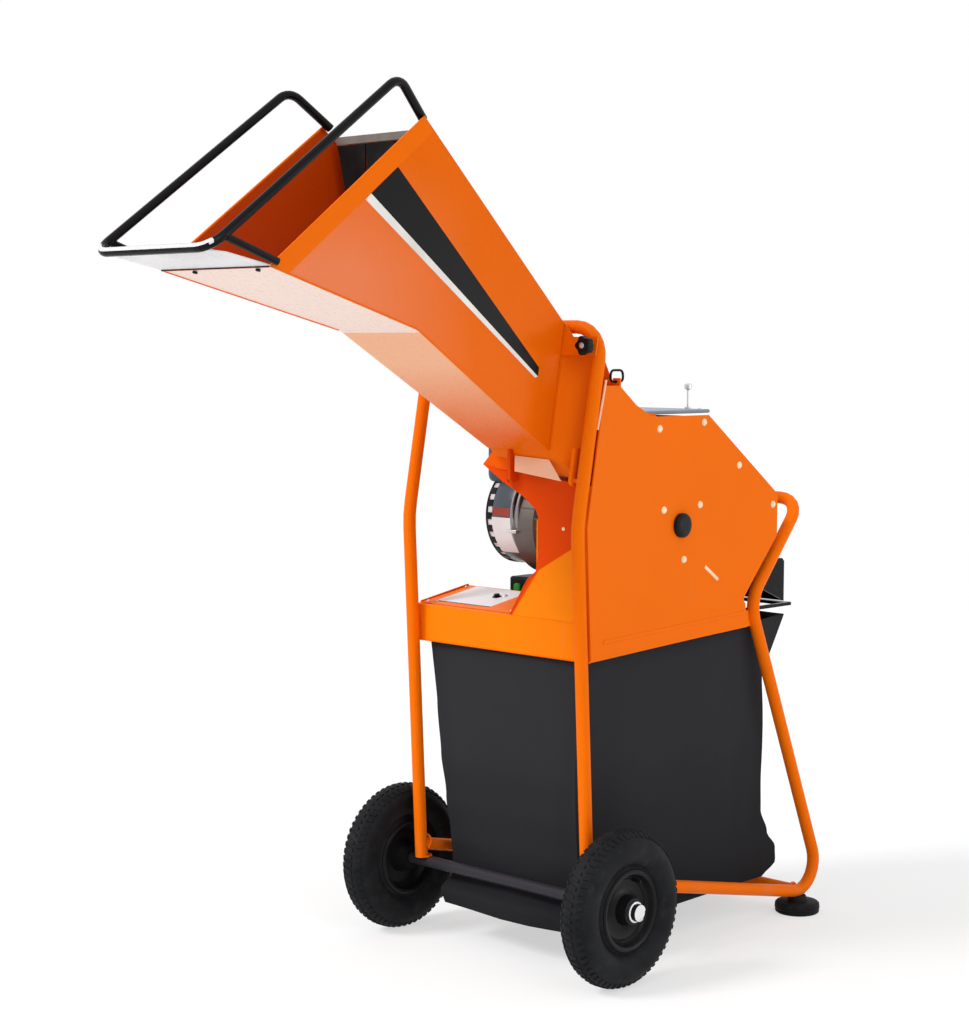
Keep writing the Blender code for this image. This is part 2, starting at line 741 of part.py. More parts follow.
def tray():
    """Open-bottomed sheet tray that carries the machine over the bag."""
    front = BODY_FRONT
    outline = [(front, TRAY_BOTTOM), (TRAY_BACK, tray_bottom(TRAY_BACK)),
               (TRAY_BACK, TRAY_TOP), (front, TRAY_TOP)]
    piece = add_piece("bag_tray", slab(outline, -PLATE_OUT, WALL_IN, 'X'), ORANGE)
    inner_front = front + SHEET
    inner_back = TRAY_BACK - SHEET
    hollow = slab([(inner_front, TRAY_BOTTOM - SHEET), (inner_back, TRAY_BOTTOM - SHEET),
                   (inner_back, TRAY_TOP - SHEET), (inner_front, TRAY_TOP - SHEET)],
                  -PLATE_OUT + SHEET, WALL_IN - SHEET, 'X')
    cut(piece, "tray_hollow", hollow)
    outlet = block((CHAMBER_IN + OUTLET_MARGIN, front + OUTLET_MARGIN, TRAY_TOP - 2 * SHEET),
                   (WALL_IN - OUTLET_MARGIN, TRAY_BACK - OUTLET_MARGIN, TRAY_TOP + SHEET))
    cut(piece, "chip_outlet", outlet)
    rise = TRAY_TOP - SHEET
    crest = (front + RIDGE_PEAK, TRAY_TOP + RIDGE_HEIGHT)
    ridge = slab([(front, rise), (front + RIDGE_LENGTH, rise), crest],
                 -PLATE_OUT, -PLATE_OUT + SHEET, 'X')
    join(piece, "tray_ridge", ridge)
    z = TRAY_TOP - FRAME_TAB_DROP
    reach = FRAME_TAB / 2
    inner = FRAME_HALF - FRAME_TAB_PLATE / 2
    for side, x in (("near", inner - FRAME_TAB_PLATE), ("far", -inner)):
        tab = block((x, TRAY_BACK - SHEET * 0.5, z - reach),
                    (x + FRAME_TAB_PLATE, WAIST[0] + reach, z + reach))
        join(piece, "frame_tab_" + side, tab)
    cut(piece, "tab_cope", rod(rear_points(), TUBE_RADIUS + GAP))
    return piece


def deck_plate():
    """Bare bent plate that slopes up along the tray's ridge, in the place of a label."""
    thick = DECK_PLATE_THICKNESS
    front = BODY_FRONT + DECK_PLATE_SETBACK
    back = BODY_FRONT + RIDGE_PEAK
    low = TRAY_TOP + GAP
    high = TRAY_TOP + RIDGE_HEIGHT
    outline = [(front, low), (back - thick, high - thick), (back - thick, low), (back, low),
               (back, high), (front, low + thick)]
    left = -PLATE_OUT + SHEET + GAP
    return add_piece("deck_plate", slab(outline, left, left + DECK_PLATE_WIDTH, 'X'), ZINC)


def side_plate():
    """Large outer plate on the near side, from the leg round to the heel."""
    low = TRAY_BOTTOM + PLATE
    middle = (LEG_BOW_HEIGHT + TRAY_BOTTOM) / 2
    heights = (low, middle, LEG_BOW_HEIGHT, BODY_PEAK)
    front = [(leg_back(z), z) for z in reversed(heights)]
    back_low = [(BODY_HEEL_Y, BODY_HEEL_Z), (TRAY_BACK, TRAY_TOP - 0.020),
                (TRAY_BACK, tray_bottom(TRAY_BACK))]
    outline = front + back_low[::-1] + body_outline()[:-1][::-1]
    piece = add_piece("side_plate", slab(outline, PLATE_IN, PLATE_OUT, 'X'), ORANGE)
    cut(piece, "plate_hub_hole", drum(SHAFT_RADIUS, PLATE_IN - GAP, PLATE_OUT + GAP, HUB, 20))
    size, thick = RING_LUG
    lug = block((PLATE_IN - size, RING_Y - thick / 2, BODY_PEAK - 2 * SHEET),
                (PLATE_OUT, RING_Y + thick / 2, BODY_PEAK + size))
    join(piece, "ring_lug", lug)
    ring_hole = drum(RING_RADIUS + GAP, RING_Y - size, RING_Y + size,
                     (RING_X, BODY_PEAK + RING_HEIGHT), 10, 'Y')
    cut(piece, "ring_hole", ring_hole)
    return piece


def chamber_plate():
    """Inner wall of the chamber, which also carries the motor."""
    bottom = TRAY_TOP + GAP
    front_low = BODY_FRONT + SHEET + GAP
    front_high = BODY_PEAK_Y + WALL_NOTCH
    outline = [(front_low, bottom), (TRAY_BACK - WALL_HEEL_INSET, bottom)]
    outline += body_outline(GAP)[2:][::-1]
    outline += [(front_high, BODY_TOP), (front_high, HUB_Z + WALL_NOTCH_RISE[0]),
                (front_low, HUB_Z + WALL_NOTCH_RISE[1])]
    piece = add_piece("chamber_plate", slab(outline, CHAMBER_LEFT, CHAMBER_RIGHT, 'X'), ORANGE)
    hole = drum(SHAFT_RADIUS + 0.004, CHAMBER_LEFT - GAP, CHAMBER_RIGHT + GAP, HUB, 20)
    cut(piece, "motor_hole", hole)
    return piece


def neck_front():
    """Front sheet of the neck: narrow at the rotor, flared to the hopper and to the tray."""
    left = CHAMBER_LEFT
    bottom = TRAY_TOP + GAP
    head = NECK_HEAD_HEIGHT
    outline = [(NECK_FOOT_X, bottom)]
    outline += [(left + across, HUB_Z + rise) for across, rise in NECK_EDGE]
    outline += [(left - NECK_HEAD_REACH, head), (WALL_IN, head - NECK_HEAD_DROP),
                (WALL_IN, bottom)]
    sheet = slab(outline, BODY_FRONT, BODY_FRONT + SHEET, 'Y')
    piece = add_piece("neck_front", sheet, ORANGE_DEEP)
    far = HINGE_FAR_X
    lug = block((far - HINGE_LUG, PIVOT_Y - HINGE_EYE, PIVOT_HEIGHT - HINGE_EYE),
                (far - GAP, BODY_FRONT + SHEET * 0.5, PIVOT_HEIGHT + HINGE_EYE))
    join(piece, "hinge_lug", lug)
    cut(piece, "lug_bore", drum(PIVOT_RADIUS + GAP, far - 2 * HINGE_LUG, far + GAP,
                                (PIVOT_Y, PIVOT_HEIGHT), 12))
    return piece


def chamber_cover():
    """Bent cover strip that closes the top and back between the two walls."""
    outer = body_outline(COVER_INSET)[1:-1]
    inner = body_outline(COVER_INSET + SHEET)[1:-1]
    for edge in (outer, inner):
        edge[0] = (edge[0][0] + COVER_START[0], edge[0][1] - COVER_START[1])
    strip = slab(outer + inner[::-1], CHAMBER_IN, WALL_IN, 'X')
    return add_piece("chamber_cover", strip, ORANGE)


def inlet_funnel():
    """Fixed throat: takes the hopper's opening across to the chamber."""
    offset = NECK_BACK + NECK_PLAY
    low = NECK_BOTTOM + NECK_PLAY
    high = NECK_TOP - NECK_PLAY / 2
    right = NECK_RIGHT + NECK_PLAY
    end_y = BODY_PEAK_Y + THROAT_RUN
    first = [(right, lean(high, offset), high), (THROAT_LEFT, lean(high, offset), high),
             (THROAT_LEFT, lean(low, offset), low), (right, lean(low, offset), low)]
    end_high = BODY_TOP - COVER_INSET - THROAT_HEADROOM
    end_low = HUB_Z + THROAT_FLOOR
    last = [(WALL_IN, end_y, end_high), (CHAMBER_LEFT, end_y, end_high),
            (CHAMBER_LEFT, end_y, end_low), (WALL_IN, end_y, end_low)]
    piece = add_piece("inlet_funnel", funnel([first, last]), ORANGE_DEEP)
    thicken(piece, SHEET)
    return piece


def anvil():
    """Fixed counter blade at the lower edge of the throat."""
    y = BODY_PEAK_Y + ANVIL_PLACE[0]
    z = HUB_Z + ANVIL_PLACE[1]
    shape = block((CHAMBER_IN, y - ANVIL_SIZE, z - ANVIL_SIZE), (WALL_IN, y, z))
    return add_piece("anvil", shape, STEEL)


def sieve():
    """Slotted plate curved round the underside of the rotor."""
    outer = arc(HUB, SIEVE_RADIUS + SIEVE_THICKNESS, 200, 350, 18)
    inner = arc(HUB, SIEVE_RADIUS, 350, 200, 18)
    piece = add_piece("sieve", slab(outer + inner, CHAMBER_IN, WALL_IN, 'X'), STEEL)
    for k, turn in enumerate((225, 250, 275, 300, 325)):
        length, width = SIEVE_SLOT
        slot = block((-length / 2, SIEVE_RADIUS * 0.9, -width / 2),
                     (length / 2, SIEVE_RADIUS * 1.1, width / 2))
        swing = Matrix.Rotation(math.radians(turn), 4, 'X')
        bmesh.ops.transform(slot, matrix=swing, verts=slot.verts)
        middle = ((CHAMBER_IN + WALL_IN) / 2, HUB_Y, HUB_Z)
        bmesh.ops.translate(slot, verts=slot.verts, vec=middle)
        cut(piece, "sieve_slot_%d" % (k + 1), slot)
    return piece


def hub_cap():
    """Dark dome over the end of the rotor shaft."""
    start = PLATE_OUT + GAP
    top = start + HUB_CAP_LENGTH
    radius = HUB_CAP_RADIUS
    profile = [(start, 0.0), (start, radius), (start + HUB_CAP_LENGTH * 0.5, radius),
               (top - 0.001, radius * 0.75), (top, radius * 0.5), (top, 0.0)]
    return add_piece("hub_cap", turned(profile, HUB, 28), BLACK_PAINT, smooth=True)


# Rotor and drive

def bearings():
    """A flanged bearing unit on each side of the chamber."""
    spots = (("near", WALL_IN, -1), ("far", CHAMBER_IN, 1))
    for side, wall, inward in spots:
        bore = SHAFT_RADIUS + GAP
        unit = [(0.0, bore), (0.0, HOUSING_RADIUS), (BEARING_WIDTH * 0.6, HOUSING_RADIUS),
                (BEARING_WIDTH * 0.6, BEARING_RADIUS + 0.006), (BEARING_WIDTH, BEARING_RADIUS),
                (BEARING_WIDTH, bore)]
        profile = [(wall + inward * a, r) for a, r in unit]
        add_piece("bearing_" + side, turned(profile, HUB, 32), CAST, smooth=True)


def motor_end():
    """X of the outer end of the motor's body."""
    return CHAMBER_LEFT - GAP - MOTOR_BELL - MOTOR_LENGTH


def rotor_start():
    """X of the first disc, which centres the rotor in the chamber."""
    return (CHAMBER_IN + WALL_IN - ROTOR_LENGTH) / 2


def rotor():
    low = rotor_start()
    high = low + ROTOR_LENGTH
    step = (ROTOR_LENGTH - DISC_THICKNESS) / 2
    outer = []
    for k in range(3):
        start = low + k * step
        if k:
            outer.append((start, ROTOR_HUB_RADIUS))
        outer.append((start, ROTOR_RADIUS))
        outer.append((start + DISC_THICKNESS, ROTOR_RADIUS))
        if k < 2:
            outer.append((start + DISC_THICKNESS, ROTOR_HUB_RADIUS))
    bore = SHAFT_RADIUS + GAP
    profile = outer + [(high, bore), (low, bore)]
    add_piece("rotor", turned(profile, HUB, 32), STEEL, on="rotor_axis", smooth=True)
    for k in range(BLADE_COUNT):
        base = ROTOR_RADIUS + GAP
        bar = slab([(-BLADE_WIDTH / 2, base), (BLADE_WIDTH / 2, base),
                    (BLADE_WIDTH / 2, base + BLADE_HEIGHT), (-BLADE_WIDTH / 4, base + BLADE_HEEL)],
                   low, high, 'X')
        swing = Matrix.Rotation(math.tau * k / BLADE_COUNT, 4, 'X')
        bmesh.ops.transform(bar, matrix=swing, verts=bar.verts)
        bmesh.ops.translate(bar, verts=bar.verts, vec=(0, HUB_Y, HUB_Z))
        add_piece("blade_%d" % (k + 1), bar, STEEL, on="rotor_axis")


def drive():
    """One shaft carries the fan, the armature and the rotor."""
    end = motor_end()
    add_axis("rotor_axis", (0.0, HUB_Y, HUB_Z))
    shaft = drum(SHAFT_RADIUS, end - COWL_LENGTH * 0.45, WALL_IN, HUB, 24)
    add_piece("drive_shaft", shaft, STEEL, on="rotor_axis", smooth=True)
    bore = SHAFT_RADIUS + GAP
    low = end + ARMATURE_INSET[0]
    high = end + MOTOR_LENGTH - ARMATURE_INSET[1]
    core = [(low, bore), (high, bore), (high, ARMATURE_RADIUS), (low, ARMATURE_RADIUS)]
    add_piece("motor_armature", turned(core, HUB, 28), STEEL, on="rotor_axis", smooth=True)
    fan()
    rotor()


def fan():
    """Cooling fan: a back plate, a hub and eight flat blades."""
    end = motor_end()
    base = end - COWL_LENGTH * 0.20
    bore = SHAFT_RADIUS + GAP
    plate = [(base, bore), (base, FAN_RADIUS), (base - FAN_PLATE, FAN_RADIUS),
             (base - FAN_PLATE, FAN_HUB_RADIUS), (base - FAN_DEPTH, FAN_HUB_RADIUS),
             (base - FAN_DEPTH, bore)]
    piece = add_piece("cooling_fan", turned(plate, HUB, 24), NYLON, on="rotor_axis", smooth=True)
    for k in range(VANE_COUNT):
        vane = block((base - FAN_DEPTH * 0.9, FAN_HUB_RADIUS * 0.92, -VANE / 2),
                     (base - FAN_PLATE * 0.67, FAN_RADIUS * 0.97, VANE / 2))
        swing = Matrix.Rotation(math.tau * (k + 0.5) / VANE_COUNT, 4, 'X')
        bmesh.ops.transform(vane, matrix=swing, verts=vane.verts)
        bmesh.ops.translate(vane, verts=vane.verts, vec=(0, HUB_Y, HUB_Z))
        join(piece, "fan_vane_%d" % (k + 1), vane)


def motor():
    end = motor_end()
    face = CHAMBER_LEFT - GAP
    inner = MOTOR_RADIUS - MOTOR_WALL
    bore = SHAFT_RADIUS + GAP
    body = [(face - MOTOR_BELL - GAP, inner), (end + MOTOR_WALL, inner), (end + MOTOR_WALL, bore),
            (end, bore), (end, MOTOR_RADIUS), (face - MOTOR_BELL - GAP, MOTOR_RADIUS)]
    add_piece("motor_body", turned(body, HUB, 40), CAST, smooth=True)
    front = [(face, bore), (face, MOTOR_RADIUS), (face - MOTOR_BELL * 0.5, MOTOR_RADIUS),
             (face - MOTOR_BELL, inner), (face - MOTOR_BELL, bore)]
    add_piece("motor_front_bell", turned(front, HUB, 40), CAST, smooth=True)
    stator_low = end + STATOR_INSET[0]
    stator_high = end + MOTOR_LENGTH - STATOR_INSET[1]
    stator = [(stator_low, STATOR_BORE), (stator_high, STATOR_BORE),
              (stator_high, inner - GAP), (stator_low, inner - GAP)]
    add_piece("motor_stator", turned(stator, HUB, 32), COPPER, smooth=True)
    fan_cowl(end)


def fan_cowl(end):
    """Slotted cowl over the cooling fan."""
    radius = MOTOR_RADIUS + COWL_LIP
    low = end - COWL_LENGTH
    high = end - GAP
    wall = COWL_WALL
    edge = COWL_CHAMFER
    cup = [(high, radius), (low + edge, radius), (low, radius - edge), (low, COWL_HOLE),
           (low + wall, COWL_HOLE), (low + wall, radius - edge - wall * 0.4),
           (low + edge + wall * 0.4, radius - wall), (high, radius - wall)]
    piece = add_piece("fan_cowl", turned(cup, HUB, 40), BLACK_PAINT, smooth=True)
    for k in range(5):
        bar = block((low - 0.005, -radius * 0.78, -0.004), (low + 0.005, radius * 0.78, 0.004))
        lift = (k - 2) * COWL_SLOT_PITCH
        bmesh.ops.scale(bar, verts=bar.verts, vec=(1, math.sqrt(1 - (lift / radius) ** 2), 1))
        bmesh.ops.translate(bar, verts=bar.verts, vec=(0, HUB_Y, HUB_Z + lift))
        cut(piece, "cowl_slot_%d" % (k + 1), bar)


def control_box():
    """Housing over the motor with its lid, mains inlet and reset knob."""
    right = CHAMBER_LEFT - GAP
    top = BOX_TOP - BOX_LID
    piece = add_piece("control_box", block((BOX_LEFT, BOX_FRONT, BOX_BOTTOM),
                                           (right, BOX_BACK, top)), BLUE_GREY)
    saddle_radius = MOTOR_RADIUS + COWL_LIP + SHEET
    floor = HUB_Z + saddle_radius + BOX_WALL
    hollow = block((BOX_LEFT + BOX_WALL, BOX_FRONT + BOX_WALL, floor),
                   (right - BOX_WALL, BOX_BACK - BOX_WALL, BOX_TOP))
    round_edges(piece, BOX_RADIUS * 0.9, 3)
    cut(piece, "box_hollow", hollow)
    saddle = drum(saddle_radius, BOX_LEFT - BOX_WALL, right + BOX_WALL, HUB, 48)
    cut(piece, "motor_saddle", saddle)
    inlet_y = BOX_BACK + GAP
    inlet = (BOX_LEFT + INLET_FROM_SIDE, (BOX_BOTTOM + BOX_TOP) / 2)
    lid = add_piece("control_box_lid", block((BOX_LEFT, BOX_FRONT, top + GAP),
                                             (right, BOX_BACK, BOX_TOP)), BLUE_GREY)
    round_edges(lid, BOX_LID * 0.4)
    mains_inlet(inlet_y, inlet)
    reset_knob()


def mains_inlet(face, centre):
    """Recessed inlet with pins, and its spring lid."""
    rim = SOCKET_RADIUS
    profile = [(face, 0.0), (face, rim), (face + SOCKET_DEPTH, rim),
               (face + SOCKET_DEPTH, rim - 0.003), (face + 0.004, rim - 0.003), (face + 0.004, 0.0)]
    piece = add_piece("mains_inlet", turned([(a, r) for a, r in profile], centre, 28, 'Y'),
                      BLACK_PAINT, smooth=True)
    for k, turn in enumerate((90, 210, 330)):
        x = centre[0] + PIN_CIRCLE * math.cos(math.radians(turn))
        z = centre[1] + PIN_CIRCLE * math.sin(math.radians(turn))
        join(piece, "inlet_pin_%d" % (k + 1),
             drum(PIN_RADIUS, face + 0.002, face + SOCKET_DEPTH - 0.004, (x, z), 10, 'Y'))
    hinge = (centre[0], face + SOCKET_DEPTH + 0.003, centre[1] + rim + 0.004)
    add_axis("inlet_lid_axis", hinge)
    start = face + SOCKET_DEPTH + GAP
    cover = drum(rim, start, start + LID_THICKNESS, centre, 28, 'Y')
    lid = add_piece("inlet_lid", cover, BLACK_PAINT, on="inlet_lid_axis", smooth=True)
    knuckle = drum(0.0025, centre[0] - 0.010, centre[0] + 0.010,
                   (hinge[1], hinge[2] - 0.0032), 12)
    join(lid, "lid_knuckle", knuckle)


def reset_knob():
    """Overload reset on a thin stem."""
    x = CHAMBER_LEFT * 0.5
    y = BOX_BACK - RESET_SETBACK
    low = BOX_TOP + GAP
    high = low + RESET_STEM
    stem = RESET_STEM_RADIUS
    knob = RESET_KNOB_RADIUS
    profile = [(low, 0.0), (low, 3 * stem), (low + 0.003, 3 * stem), (low + 0.003, stem),
               (high - 0.012, stem), (high - 0.009, knob), (high - 0.002, knob),
               (high, knob - 0.003), (high, 0.0)]
    add_axis("reset_axis", (x, y, low))
    add_piece("reset_knob", turned(profile, (x, y), 16, 'Z'), ZINC, on="reset_axis", smooth=True)


def switch_box():
    """Start and stop switch on the deck, in front of the motor's foot."""
    width, depth, height = SWITCH_SIZE
    low_x = SWITCH_X - width / 2
    base = TRAY_TOP + GAP
    piece = add_piece("switch_box", block((low_x, SWITCH_Y, base),
                                          (low_x + width, SWITCH_Y + depth, base + height)),
                      BLACK_PAINT)
    round_edges(piece, 0.004)
    middle = base + height / 2
    for name, finish, sign in (("start_button", GREEN, -1), ("stop_button", RED, 1)):
        x = SWITCH_X + sign * BUTTON_PITCH / 2
        floor = SWITCH_Y + BUTTON_POCKET
        pocket = drum(BUTTON_RADIUS + GAP, SWITCH_Y - GAP, floor, (x, middle), 20, 'Y')
        cut(piece, name + "_pocket", pocket)
        low = SWITCH_Y - BUTTON_PROUD
        end = floor - BUTTON_TRAVEL - 2 * GAP
        profile = [(low, 0.0), (low, BUTTON_RADIUS - 0.0015), (low + 0.0015, BUTTON_RADIUS),
                   (end, BUTTON_RADIUS), (end, 0.0)]
        add_axis(name + "_axis", (x, low, middle))
        add_piece(name, turned(profile, (x, middle), 20, 'Y'), finish,
                  on=name + "_axis", smooth=True)


# Hopper

def hopper_stations():
    """Corners of the hopper's sections: near top, far top, far bottom, near bottom."""
    top_y, top_z = MOUTH_TOP
    lip_y, lip_z = MOUTH_LIP
    knee_y, knee_z = KNEE
    near = MOUTH_HALF
    end = BASE_OFFSET - GAP - SHEET * 0.6
    base_top = (lean(HOPPER_BASE_TOP, end), HOPPER_BASE_TOP)
    base_low = (lean(HOPPER_BASE_BOTTOM, end), HOPPER_BASE_BOTTOM)
    far_top = -MOUTH_HALF + MOUTH_NARROWING
    mouth = [(near, top_y, top_z), (far_top, top_y, top_z),
             (-MOUTH_HALF, lip_y, lip_z), (near, lip_y, lip_z)]
    middle_y = (top_y + base_top[0]) / 2
    middle_z = (top_z + base_top[1]) / 2
    knee = [(near, middle_y, middle_z), ((far_top + THROAT_LEFT) / 2, middle_y, middle_z),
            (KNEE_FAR_X, knee_y, knee_z), (near, knee_y, knee_z)]
    base = [(near, *base_top), (THROAT_LEFT, *base_top),
            (THROAT_LEFT, *base_low), (near, *base_low)]
    return mouth, knee, base


def hopper_body():
    mouth, knee, base = hopper_stations()
    piece = add_piece("hopper_body", funnel([mouth, knee, base]), ORANGE, on="hopper_axis")
    thicken(piece, SHEET)
    corner = Vector(mouth[0][1:])
    down = (Vector(base[0][1:]) - corner).normalized()
    out = Vector((-down.y, down.x))
    spots = [(-0.01, 0.01), (BACK_EDGE_DROP, 0.01), (BACK_EDGE_DROP, -0.006), (-0.01, -0.006)]
    outline = [corner + down * a + out * b for a, b in spots]
    notch = slab(outline, mouth[1][0] + 2 * SHEET, MOUTH_HALF - SHEET * 0.9, 'X')
    cut(piece, "back_edge_notch", notch)
    return piece


def hopper_flange():
    """Flat base plate with the lock tab that the knob clamps to the leg."""
    front = BASE_OFFSET
    back = BASE_OFFSET + PLATE
    right = MOUTH_HALF
    tab_low = LOCK_HEIGHT - LOCK_TAB[0]
    tab_high = LOCK_HEIGHT + LOCK_TAB[1]
    tab_x = FRAME_HALF + TUBE_RADIUS * 0.5
    outline = [(THROAT_LEFT, HOPPER_BASE_BOTTOM), (right, HOPPER_BASE_BOTTOM), (right, tab_low),
               (tab_x, tab_low), (tab_x, tab_high), (right + LOCK_TAB_STEP, tab_high),
               (right, HOPPER_BASE_TOP), (THROAT_LEFT, HOPPER_BASE_TOP)]
    rings = [[(x, lean(z, offset), z) for x, z in outline] for offset in (front, back)]
    piece = add_piece("hopper_flange", plate_between(*rings), ORANGE, on="hopper_axis")
    low = HOPPER_BASE_BOTTOM + BASE_FRAME
    high = NECK_TOP - NECK_PLAY
    past = 2 * BASE_FRAME
    hole = block((THROAT_LEFT + BASE_FRAME, lean(low, front) - past, low),
                 (right - BASE_FRAME, lean(high, back) + past, high))
    cut(piece, "flange_opening", hole)
    bore = drum(STUD_RADIUS + GAP, lean(LOCK_HEIGHT, front) - past,
                lean(LOCK_HEIGHT, back) + past, (lock_x(), LOCK_HEIGHT), 16, 'Y')
    cut(piece, "stud_bore", bore)
    return piece


def hopper_neck():
    """Flared end of the hopper, between the flange and the fixed throat."""
    rings = []
    for offset, right, low in ((BASE_BACK, MOUTH_HALF, HOPPER_BASE_BOTTOM),
                               (NECK_BACK, NECK_RIGHT, NECK_BOTTOM)):
        far_low = low + (NECK_HEAD_HEIGHT - NECK_BOTTOM if low == NECK_BOTTOM else 0.0)
        rings.append([(right, lean(NECK_TOP, offset), NECK_TOP),
                      (THROAT_LEFT, lean(NECK_TOP, offset), NECK_TOP),
                      (THROAT_LEFT, lean(far_low, offset), far_low),
                      (right, lean(low, offset), low)])
    piece = add_piece("hopper_neck", funnel(rings), ORANGE, on="hopper_axis")
    thicken(piece, SHEET)
    return piece


def hinge_cheeks():
    """A cheek beside the hopper's neck and one under its flange, each with a stub pin."""
    centre = (PIVOT_Y, PIVOT_HEIGHT)
    ring = arc(centre, HINGE_EYE, 180, 360, 10)
    rear = NECK_BACK - SHEET
    clear = NECK_HEAD_HEIGHT + NECK_PLAY
    high = clear + CHEEK_RISE
    tall = ring + [(PIVOT_Y + HINGE_EYE, clear), (lean(clear, rear), clear + NECK_PLAY),
                   (lean(high, rear), high), (lean(high, BASE_BACK + NECK_PLAY), high)]
    under = HOPPER_BASE_BOTTOM - GAP
    short = ring + [(PIVOT_Y + HINGE_EYE, under_neck(PIVOT_Y + HINGE_EYE)),
                    (lean(HOPPER_BASE_BOTTOM, BASE_BACK), under), (PIVOT_Y - HINGE_EYE, under)]
    near = NECK_RIGHT + GAP
    far = HINGE_FAR_X
    spots = (("near", tall, near, near + CHEEK * 0.5, FRAME_HALF),
             ("far", short, far, far - HINGE_LUG, far + CHEEK * 0.5))
    for side, outline, x, pin_low, pin_high in spots:
        cheek = add_piece("hinge_cheek_" + side, slab(outline, x, x + CHEEK, 'X'), ORANGE,
                          on="hopper_axis")
        join(cheek, "hinge_pin_" + side, drum(PIVOT_RADIUS, pin_low, pin_high, centre, 12))


def under_neck(y):
    """Height just under the lowest line of the hopper's neck."""
    front = lean(HOPPER_BASE_BOTTOM, BASE_BACK)
    back = lean(NECK_BOTTOM, NECK_BACK)
    share = (y - front) / (back - front)
    return HOPPER_BASE_BOTTOM + (NECK_BOTTOM - HOPPER_BASE_BOTTOM) * share - GAP


def lock_x():
    """X of the hoop's middle line at the height of the lock knob."""
    rise = LOCK_HEIGHT - (HOOP_HEIGHT - HOOP_RADIUS)
    if rise <= 0.0:
        return FRAME_HALF
    return FRAME_HALF - HOOP_RADIUS + math.sqrt(HOOP_RADIUS ** 2 - rise ** 2)


def lock_knob():
    """Lobed knob on a stud that presses the tab against the leg."""
    x = lock_x()
    face = lean(LOCK_HEIGHT, BASE_OFFSET) - 0.0025
    low = face - KNOB_LENGTH
    r = KNOB_RADIUS
    neck = face - KNOB_NECK
    profile = [(face, 0.0), (face, r * 0.55), (neck + 0.001, r * 0.6), (neck, r),
               (low + 0.004, r), (low, r * 0.72), (low, 0.0)]
    add_axis("lock_knob_axis", (x, low, LOCK_HEIGHT), parent="hopper_axis")
    knob = add_piece("lock_knob", turned(profile, (x, LOCK_HEIGHT), 24, 'Y'), BLACK_PAINT,
                     on="lock_knob_axis", smooth=True)
    for k in range(KNOB_LOBES):
        turn = math.tau * k / KNOB_LOBES
        groove = drum(r * 0.28, low - KNOB_NECK, neck + 0.0005,
                      (x + r * 1.12 * math.cos(turn), LOCK_HEIGHT + r * 1.12 * math.sin(turn)),
                      12, 'Y')
        cut(knob, "knob_groove_%d" % (k + 1), groove)
    stud_end = lean(LOCK_HEIGHT, TUBE_RADIUS * 0.5)
    join(knob, "knob_stud", drum(STUD_RADIUS, face - 0.002, stud_end, (x, LOCK_HEIGHT), 12, 'Y'))


def safety_bar():
    """Bent bar that keeps hands away from the mouth, with two stays to the lip."""
    reach = BAR_RADIUS + GAP
    near = MOUTH_HALF + reach
    far = -MOUTH_HALF - reach
    far_top = far + MOUTH_NARROWING
    near_end = MOUTH_HALF - reach - 2 * SHEET
    far_end = MOUTH_NARROWING - MOUTH_HALF + reach + 3 * SHEET
    corners = [(near_end, *BAR_END), (near, *BAR_APEX), (near, *BAR_FRONT), (far, *BAR_FRONT),
               (far_top, *BAR_APEX), (far_end, *BAR_END)]
    path = bent_path(corners, [BAR_BEND] * 4)
    bar = add_piece("safety_bar", rod(path, BAR_RADIUS, 12), BLACK_PAINT, on="hopper_axis",
                    smooth=True)
    start_y = BAR_FRONT[0] + BAR_BEND
    start_z = BAR_FRONT[1] + BAR_BEND * 0.55
    for name, side in (("stay_near", near), ("stay_far", far)):
        run = [(side, start_y, start_z),
               (side, MOUTH_LIP[0] + STAY_FOOT[0], MOUTH_LIP[1] + STAY_FOOT[1])]
        stay = rod([Vector(p) for p in run], STAY_RADIUS, 10)
        join(bar, name, stay)
    return bar


def lip_plate():
    """Plain plate that carries branches from the safety bar to the mouth's lip."""
    rear = MOUTH_LIP[0] - 2 * GAP
    front = BAR_FRONT[0] + BAR_RADIUS + GAP
    half = MOUTH_HALF
    short = half - LIP_CORNER
    outline = [(half, rear), (half, front + LIP_CORNER), (short, front), (-short, front),
               (-half, front + LIP_CORNER), (-half, rear)]
    slope = (BAR_FRONT[1] - MOUTH_LIP[1]) / (BAR_FRONT[0] - MOUTH_LIP[0])
    rings = []
    for lift in (0.0, SHEET):
        rings.append([(x, y, MOUTH_LIP[1] + slope * (y - MOUTH_LIP[0]) + lift)
                      for x, y in outline])
    return add_piece("lip_plate", plate_between(*rings), ZINC, on="hopper_axis")


